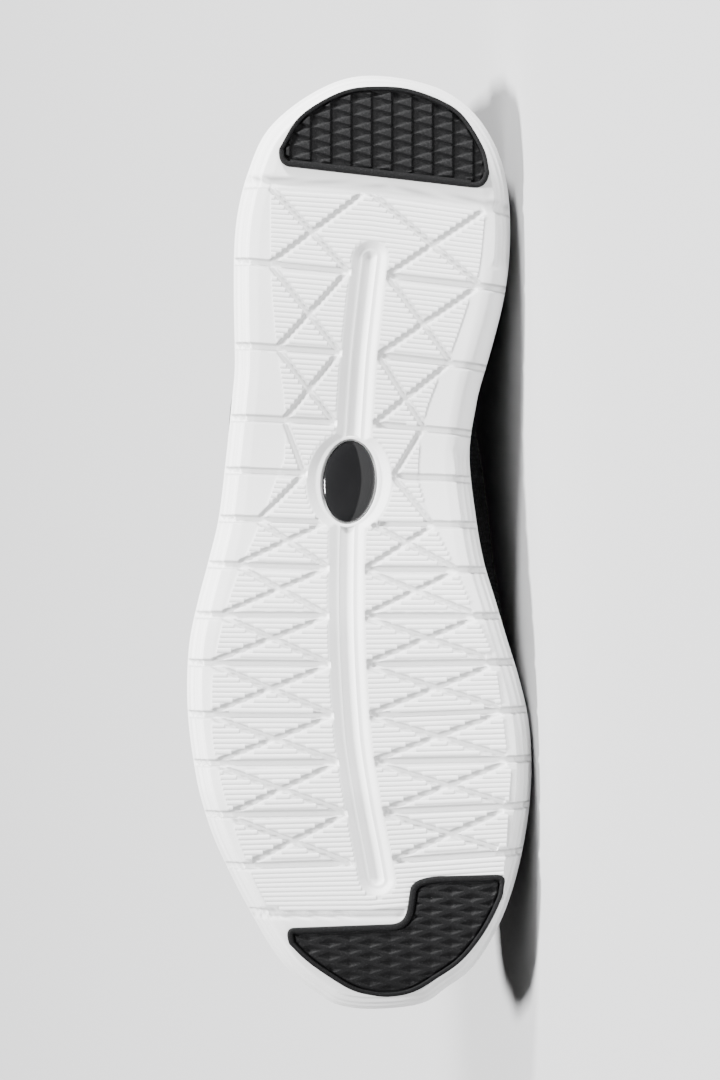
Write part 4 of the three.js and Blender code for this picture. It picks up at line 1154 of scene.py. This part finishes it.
ridge_line = upper_rows[:, 1:4] @ np.array([ridge_top, throat_top, toe_box_top])
ridge_line = np.column_stack([upper_rows[:, 0], ridge_line])
collar_line = collar_rows[:, 1:] @ np.array([heel_top, ankle_top, throat_top])
collar_line = np.column_stack([collar_rows[:, 0], collar_line])


def ridge_height(share):
    return smooth(ridge_line, share)[..., 0]


def collar_height(x):
    return smooth(collar_line, np.asarray(x) / sole_length)[..., 0]


def throat_half(x):
    """Half width of the throat's opening, nothing past its round end."""
    start, end = throat_start * sole_length, throat_end * sole_length
    wide, narrow = throat_width / 2, throat_width / 2 * throat_taper
    turn = end - narrow
    straight = wide + (narrow - wide) * np.clip((x - start) / (turn - start), 0, 1)
    past = np.clip((x - turn) / narrow, 0, 1)
    return np.where(x > turn, narrow * np.sqrt(1 - past**2), straight) * (x < end)


def half_section(angle, inset):
    """One side of the upper at a station, from its foot to its ridge."""
    side = 1 if angle >= 0 else -1
    base, facing = outline([angle, -angle], [cup_wall + fit + inset] * 2)[0]
    middle_x = (base[0] + facing[0]) / 2
    share = (1 - np.cos(angle)) / 2
    _, _, _, full_share, lateral_bulge, medial_bulge, lean_share, roundness = smooth(upper_rows, share)
    crown = ridge_height(share) - inset
    rim = footbed(middle_x) + cup_depth
    full = min(rim + ankle_top * full_share, crown - crown_rise)
    belly = base[1] + side * sole_width * (lateral_bulge if side > 0 else medial_bulge)
    lean = -sole_width * lean_share
    low = np.linspace(0, 1, 40)
    turn = np.linspace(0, np.pi / 2, 260)[1:]
    out, up = np.cos(turn) ** (2 / roundness), np.sin(turn) ** (2 / roundness)
    swell_out = base[1] + (belly - base[1]) * (1 - (1 - low) ** 1.53)
    y = np.concatenate([[base[1]], swell_out, belly * out + lean * up])
    wall_up = rim + fit + (full - rim - fit) * low
    z = np.concatenate([[footbed(base[0]) + fit], wall_up, full + (crown - full) * up])
    x = np.concatenate([np.full(41, base[0]), base[0] + (middle_x - base[0]) * up])
    if inset > 0:
        swell = collar_padding * ramp(z, ankle_top - collar_pad_height, ankle_top)
        swell = swell * (1 - ramp(share, 0.26, 0.345))
        y = y - np.sign(y) * np.minimum(swell, np.abs(y) / 2)
        x = x + swell * max(0, 1 - share / 0.1)
    height = np.clip(z - heel_top / 2, 0, None) / (heel_top / 2)
    x = x + heel_lean * height**2 * max(0, 1 - share / heel_lean_end) ** 2
    return np.column_stack([x, y, z]), lean


def cut_section(angle, inset, count):
    """A half section that ends at the collar or the throat, evenly divided."""
    points, lean = half_section(angle, inset)
    x, y, z = points.T
    over_collar = np.where(x < collar_rows[-1, 0] * sole_length, z - collar_height(x), -99)
    half = throat_half(x)
    over_throat = (half > 0) & (x > throat_start * sole_length) & (z > toe_box_top)
    in_throat = np.where(over_throat, half - np.abs(y - lean), -99)
    outside = np.maximum(over_collar, in_throat)
    if (outside > 0).any():
        last = np.argmax(outside > 0)
        share = 1
        if outside[last - 1] > -50:
            share = outside[last - 1] / (outside[last - 1] - outside[last])
        end = points[last - 1] + (points[last] - points[last - 1]) * share
        points = np.vstack([points[:last], end])
    run = run_along(points)
    at = np.linspace(0, run[-1], count)
    return np.column_stack([np.interp(at, run, points[:, k]) for k in range(3)]), at


throat_angle = angle_at(throat_end)
near_end = throat_angle - 0.07 * np.linspace(0, 1, 22) ** 2
station_angles = np.concatenate([np.linspace(0, np.pi, 168), near_end, [throat_angle + 0.004]])
station_angles = np.unique(station_angles)
section_count = 84


def upper_sheet(side, inset):
    rows = [cut_section(side * angle, inset, section_count) for angle in station_angles]
    return np.array([row[0] for row in rows]), np.array([row[1] for row in rows])


def creased(sheet):
    """Presses the creases into a sheet along its own normals."""
    along, up = np.gradient(sheet, axis=0), np.gradient(sheet, axis=1)
    normal = unit(np.cross(along, up))
    middle = np.stack([sheet[..., 0], sheet[..., 1] * 0, sheet[..., 2] * 0 + 25], -1)
    normal *= np.sign(np.sum(normal * (sheet - middle), -1, keepdims=True))
    depth = np.zeros(sheet.shape[:2])
    for place, centre, slant, half, reach, press in crease_rows:
        away = sheet[..., 0] - place - slant * (sheet[..., 1] - centre)
        depth += press * np.exp(-((away / half) ** 2) - ((sheet[..., 1] - centre) / reach) ** 2)
    free = ramp(sheet[..., 2], 30, 42) * ramp(up_share, 1.0, 0.93)
    return sheet - normal * (depth * free)[..., None]


up_share = np.broadcast_to(np.linspace(0, 1, section_count), (len(station_angles), section_count))
open_rows = np.searchsorted(station_angles, throat_angle + 0.001)
upper_points, upper_faces, upper_cloth, upper_inside = [], [], [], []
collar_edge = []
for side in (1, -1):
    outer, outer_run = upper_sheet(side, 0)
    inner, inner_run = upper_sheet(side, upper_wall)
    outer, inner = creased(outer), creased(inner)
    over = unit(outer[:, -1] - outer[:, -3])
    roll = []
    for share in (0.12, 0.3, 0.5, 0.7, 0.88):
        rise = edge_roll * np.sqrt(1 - (2 * share - 1) ** 2)
        roll.append(outer[:, -1] + (inner[:, -1] - outer[:, -1]) * share + over * rise)
    roll = np.stack(roll, 1)
    sheet = np.concatenate([outer, roll, inner[:, ::-1]], 1)
    run = np.concatenate([outer_run, outer_run[:, -1:] + np.linspace(0.4, 2, 5), inner_run[:, ::-1]], 1)
    faces = sheet_faces(sheet.shape[0], sheet.shape[1], closed=True)
    row, column = np.divmod(np.arange(len(faces)), sheet.shape[1])
    rolled = (column >= section_count - 1) & (column < section_count + 5)
    kept = ~(rolled & (row >= open_rows - 1))
    start = sum(len(part) for part in upper_points)
    upper_points.append(sheet.reshape(-1, 3))
    upper_faces.append(faces[kept] + start)
    upper_inside.append(((column >= section_count + 4) & (column < sheet.shape[1] - 1))[kept])
    upper_cloth.append(np.stack([sheet[..., 0] + 400 * (side < 0), run], -1).reshape(-1, 2))
    below_edge = np.clip(section_count - 1 - stitch_drop / (outer_run[:, -1] / section_count), 0, None)
    picked = below_edge.astype(int)
    share = (below_edge - picked)[:, None]
    rows = np.arange(len(outer))
    above = outer[rows, np.minimum(picked + 1, section_count - 1)]
    collar_edge.append((outer[rows, picked] * (1 - share) + above * share)[:open_rows])

knit = cloth_finish(
    "black_knit", (0.0055, 0.0055, 0.006), (0.0012, 0.0012, 0.0015), (0.72, 0.86),
    (0.75, 0.95, 1.1, 1.3), 0.28, 0.15, 0.03,
)
upper = mesh_object(
    "knit_sock", np.concatenate(upper_points), np.concatenate(upper_faces), [knit, lining],
    cloth=np.concatenate(upper_cloth), inside=np.concatenate(upper_inside),
)
declare(upper, "knit", "upper")


# Tongue
# A soft padded tongue of the same knit over thin foam. It is sewn under the front of the throat,
# follows the instep and stands a little above the collar; a stitched channel runs round it.
tongue_width, tongue_root = 37, 34
tongue_overlap, tongue_rise, tongue_thickness, tongue_gap = 0.045, 17, 3.5, 1.4
throat_top_share = 0.37
tongue_tip_rows = np.array([[0, 1.0], [0.40, 0.96], [0.72, 0.86], [0.91, 0.68], [1.00, 0.46]])


def throat_point(x, across, inset):
    """Points over the throat at distances across from the ridge, at an inset from the upper."""
    x, across = np.broadcast_arrays(np.asarray(x, float), np.asarray(across, float))
    share = x / sole_length
    values = smooth(upper_rows, share)
    angle = angle_at(share)
    wide = smooth(width_rows, angle)
    wide = np.where(across < 0, wide[..., 1], wide[..., 0]) * np.sin(angle) * sole_width
    bulge = np.where(across < 0, values[..., 5], values[..., 4])
    belly = wide - cup_wall - fit - inset + sole_width * bulge
    crown = ridge_height(share) - inset
    full = np.minimum(footbed(x) + cup_depth + ankle_top * values[..., 3], crown - crown_rise)
    out = np.minimum(0.98, np.abs(across) / belly)
    up = (1 - out ** values[..., 7]) ** (1 / values[..., 7])
    y = across - sole_width * values[..., 6] * up
    return np.stack([x, y, full + (crown - full) * up], -1)


tongue_inset = upper_wall + tongue_gap
tongue_tip = throat_top_share * sole_length
tongue_foot = (throat_end + tongue_overlap) * sole_length
tongue_below = throat_point(tongue_tip + 0.03 * sole_length, 0, tongue_inset)
tongue_lift = unit(throat_point(tongue_tip, 0, tongue_inset) - tongue_below)
tongue_across = np.linspace(-1, 1, 45)
tongue_rows = []
for step in np.linspace(0, 1, 64):
    half = (tongue_root + (tongue_width - tongue_root) * step) / 2
    x = tongue_foot + (tongue_tip - tongue_foot) * step
    tongue_rows.append((x, half, 0, min(1, 0.35 + step * 12)))
for past in np.linspace(0.04, 1, 22):
    half = tongue_width / 2 * smooth(tongue_tip_rows, past)[0]
    fill = np.sqrt(max(0, 1 - max(0, past - 0.8) ** 2 / 0.042))
    tongue_rows.append((tongue_tip, half, past * tongue_rise, fill))
tongue_sheet = []
for x, half, past, fill in tongue_rows:
    share = np.abs(tongue_across)
    puff = np.sqrt(np.clip(1 - share**5, 0, 1)) * fill
    puff = puff * (1 - 0.3 * np.exp(-(((1 - share) * half - 4.2) / 0.8) ** 2))
    puff = np.maximum(puff, 0.04)
    middle = throat_point(x, half * tongue_across, tongue_inset + tongue_thickness / 2)
    top = throat_point(x, half * tongue_across, tongue_inset)
    offset = (top - middle) * puff[:, None]
    loop = np.concatenate([middle + offset, (middle - offset)[::-1]])
    tongue_sheet.append(loop + tongue_lift * past)
tongue_sheet = np.array(tongue_sheet)


def capped_tube(rows, count, start=0):
    """Quads of a tube of rings that fold flat, closed across both of its ends."""
    first = start + np.array([[0], [(rows - 1) * count]])
    k = np.arange(count // 2 - 1)
    caps = np.stack([first + k, first + k + 1, first + count - 2 - k, first + count - 1 - k], -1)
    return np.vstack([sheet_faces(rows, count, closed=True) + start, caps.reshape(-1, 4)])


tongue_width_at = np.concatenate([tongue_across, -tongue_across[::-1] + 4]) * 18
tongue_length_at = np.linspace(0, 106, len(tongue_sheet))
tongue_cloth = np.stack(np.meshgrid(tongue_width_at, tongue_length_at), -1)
tongue_knit = cloth_finish(
    "tongue_knit", (0.0065, 0.0065, 0.007), (0.0015, 0.0015, 0.002), (0.75, 0.9),
    (1.1, 1.3, 1.1, 1.6), 0.2, 0.15, 0.04,
)
tongue_faces = capped_tube(*tongue_sheet.shape[:2])
tongue = mesh_object("tongue_pad", tongue_sheet, tongue_faces, [tongue_knit], 60, tongue_cloth)
declare(tongue, "tongue_knit", "tongue")


# Eyestay
# A band of smooth black film bonded round the throat, about 1 mm thick, with five eyelets
# punched through it on each side.
eyestay_width, eyestay_thickness, eyestay_drop = 15, 1.1, 22
eyestay_setback, collar_margin = 0.8, 2.5
turn_radius = throat_width / 2 * throat_taper
throat_turn = throat_end * sole_length - turn_radius


def stay_point(x, margin, side, inset):
    return throat_point(x, side * (throat_half(x) + margin), inset)


def stay_side(side, lanes, inset):
    """The straight part of the band on one side, trimmed at the collar and down the side."""
    xs = np.arange(throat_start * sole_length, throat_turn + 0.01, 0.4)
    margins = np.linspace(eyestay_setback, eyestay_width, 60)
    surface = stay_point(xs[:, None], margins[None], side, -fit)
    deep = surface[..., 2] - (ridge_height(xs / sole_length)[:, None] - eyestay_drop)
    reach = np.where(deep.min(1) < 0, margins[np.argmax(deep < 0, axis=1)], eyestay_width)
    rows = []
    for lane in lanes:
        lane_margin = eyestay_setback + (reach - eyestay_setback) * lane
        points = stay_point(xs, lane_margin, side, inset)
        low = points[:, 2] < collar_height(xs) - collar_margin
        first = len(low) - np.argmin(low[::-1]) if not low.all() else 0
        at = np.linspace(xs[min(first, len(xs) - 2)], xs[-1], 60)
        rows.append(stay_point(at, np.interp(at, xs, lane_margin), side, inset))
    return np.array(rows)


def stay_band(lanes, inset):
    lateral, medial = stay_side(1, lanes, inset), stay_side(-1, lanes, inset)
    turn = np.linspace(0, np.pi, 34)[1:-1]
    margins = eyestay_setback + (eyestay_width - eyestay_setback) * np.asarray(lanes)
    radius = (turn_radius + margins)[:, None]
    front = throat_point(throat_turn + radius * np.sin(turn), radius * np.cos(turn), inset)
    return np.concatenate([lateral, front, medial[:, ::-1]], 1)


stay_lanes = np.concatenate([[0, 0.015], np.linspace(0.06, 0.94, 12), [0.985, 1]])
stay_top = stay_band(stay_lanes, -fit - eyestay_thickness)
stay_under = stay_band(stay_lanes, -fit)
for edge in (0, -1):
    stay_top[edge] += (stay_under[edge] - stay_top[edge]) * 0.45
stay_sheet = np.concatenate([stay_top, stay_under[::-1]], 0).transpose(1, 0, 2)
film = finish(
    "black_film", (0.005, 0.005, 0.0055), (0.008, 0.008, 0.009), (0.46, 0.58), grain_group,
    {"Pimples": 1800.0, "Patches": 40.0}, ("Patch", "Patch"), 0.03, 0.2,
)
eyestay = mesh_object("throat_band", stay_sheet, capped_tube(*stay_sheet.shape[:2]), [film], 50)
declare(eyestay, "film", "eyestay")

# Eyelets: each is a pressed ring on a point of the band, turned to the band's own normal.
lace_width, lace_thickness, lace_reach, lace_gap, lace_crossings = 6, 1.3, 5, 1.3, 4
lace_first = (throat_end - 0.045) * sole_length
lace_last = (throat_start + 0.075) * sole_length
lace_rows = np.linspace(lace_first, lace_last, lace_crossings + 1)
eyelet_across = throat_width / 2 + lace_reach
eyelet_spots, eyelet_normals = [], []
for x in lace_rows:
    for side in (1, -1):
        spot, along, sideways = (
            throat_point(x + dx, side * (eyelet_across + dy), -fit - eyestay_thickness)
            for dx, dy in ((0, 0), (0.5, 0), (0, 0.5))
        )
        eyelet_spots.append(spot)
        eyelet_normals.append(unit(np.cross(along - spot, sideways - spot)) * side)
ring_tree, ring_in = new_tree("eyelet_rings", Radius="Float", Thread="Float")
ring_path, ring_section = (
    place_node(ring_tree, "GeometryNodeCurvePrimitiveCircle", {"Resolution": count, "Radius": radius})
    for count, radius in ((28, ring_in["Radius"]), (8, ring_in["Thread"]))
)
ring_mesh = place_node(ring_tree, "GeometryNodeCurveToMesh", {
    "Curve": ring_path["Curve"], "Profile Curve": ring_section["Curve"],
})
ring_facing = place_node(
    ring_tree, "GeometryNodeInputNamedAttribute", {"Name": "facing"}, data_type="FLOAT_VECTOR"
)
ring_turn = place_node(
    ring_tree, "FunctionNodeAlignRotationToVector", {"Vector": ring_facing["Attribute"]}, axis="Z"
)
ring_set = place_node(ring_tree, "GeometryNodeInstanceOnPoints", {
    "Points": ring_in["Geometry"], "Instance": ring_mesh["Mesh"], "Rotation": ring_turn["Rotation"],
})
end_tree(ring_tree, ring_in, ring_set["Instances"])
ring_values = {"Radius": 2.6, "Thread": 0.45, "Material": film}
eyelets = grown_piece("eyelets", eyelet_spots, [], ring_tree, ring_values, facing=eyelet_normals)
declare(eyelets, "film", "eyestay")


# Laces
# Flat black cotton lace: one bar at the front, then four crossings. Each run dives into an
# eyelet, squeezed narrow, and one run of each cross lies over the other.
lace_level = eyestay_thickness + fit + lace_gap
lace_dive, lace_squeeze, lace_sides = 2.1, 0.42, 12


def lace_run(start, start_side, end, end_side, over):
    """A flat strip between two eyelets, as rings round its section."""
    steps = np.linspace(-0.01, 1.01, 40)
    ring = np.linspace(0, 2 * np.pi, lace_sides, endpoint=False) + np.pi / lace_sides
    wide, thick = np.cos(ring), np.sin(ring)
    wide = np.sign(wide) * np.abs(wide) ** 0.45
    thick = np.sign(thick) * np.abs(thick) ** 0.7
    rings, cloth = [], []
    for s in steps:
        x = start + (end - start) * s
        across = eyelet_across * (start_side + (end_side - start_side) * s)
        near = min(s, 1 - s)
        dive = ramp(near, 0.13, -0.01)
        level = lace_level + over * np.exp(-(((s - 0.5) / 0.13) ** 2)) - lace_dive * dive
        half = lace_width / 2 * (1 - lace_squeeze * dive)
        insets = -level - lace_thickness * (0.5 + 0.5 * thick)
        rings.append([throat_point(x + half * w, across, inset) for w, inset in zip(wide, insets)])
        round_at = half * 0.5 * np.arange(1, lace_sides + 1)
        cloth.append(np.column_stack([round_at, np.full(lace_sides, s * 40)]))
    return np.array(rings), np.array(cloth)


runs = [lace_run(lace_first, -1, lace_first, 1, 0)]
for near, far in zip(lace_rows, lace_rows[1:]):
    runs.append(lace_run(near, -1, far, 1, 0.75))
    runs.append(lace_run(near, 1, far, -1, -0.5))
lace_rings, lace_cloth = (np.array(parts) for parts in zip(*runs))
run_rows, run_count = lace_rings.shape[1:3]
lace_faces = np.vstack([
    capped_tube(run_rows, run_count, number * run_rows * run_count) for number in range(len(runs))
])
cotton = cloth_finish(
    "lace_cotton", (0.008, 0.008, 0.009), (0.002, 0.002, 0.0025), (0.85, 0.95),
    (1.0, 1.5, 1.5, 2.0), 0.2, 0.2,
)
lace = mesh_object("lace_runs", lace_rings, lace_faces, [cotton], 60, lace_cloth)
declare(lace, "lace_cotton", "lace")


# Stitching
# Black thread: one row under the collar's turned edge, one along each edge of the throat band,
# and two up the back of the heel.
thread_paths = list(collar_edge)
for lane in (0.09, 0.93):
    thread_paths.append(stay_band([lane], -fit - eyestay_thickness)[0][3:-3])
heel_line = upper_points[0].reshape(len(station_angles), -1, 3)[0, 20:section_count - 4]
for offset in (-1.4, 1.4):
    thread_paths.append(heel_line + [0.06, offset, 0])
thread_points = np.concatenate(thread_paths)
thread_edges = []
start = 0
for path in thread_paths:
    thread_edges += [(start + k, start + k + 1) for k in range(len(path) - 1)]
    start += len(path)
stitch_tree, stitch_in = new_tree("stitch_row", Pitch="Float", Stitch="Vector")
stitch_curve = place_node(stitch_tree, "GeometryNodeMeshToCurve", {"Mesh": stitch_in["Geometry"]})
stitch_spots = place_node(stitch_tree, "GeometryNodeCurveToPoints", {
    "Curve": stitch_curve["Curve"], "Length": stitch_in["Pitch"],
}, mode="LENGTH")
stitch_form = place_node(stitch_tree, "GeometryNodeMeshUVSphere", {
    "Segments": 6, "Rings": 5, "Radius": 1.0,
})
stitch_set = place_node(stitch_tree, "GeometryNodeInstanceOnPoints", {
    "Points": stitch_spots["Points"], "Rotation": stitch_spots["Rotation"],
    "Instance": stitch_form["Mesh"], "Scale": stitch_in["Stitch"],
})
end_tree(stitch_tree, stitch_in, stitch_set["Instances"])
# The thread's lighter specks on the tops of its grain are painted glints.
thread = finish(
    "black_thread", (0.012, 0.012, 0.013), (0.02, 0.02, 0.021), (0.5, 0.65), grain_group,
    {"Pimples": 3000.0, "Patches": 80.0}, ("PaintedGlint", "Patch"), 0.05, 0.3,
)
stitch_values = {"Pitch": 2.6, "Stitch": (0.24, 0.24, 1.0), "Material": thread}
stitches = grown_piece("stitches", thread_points, thread_edges, stitch_tree, stitch_values)
declare(stitches, "knit", "upper")
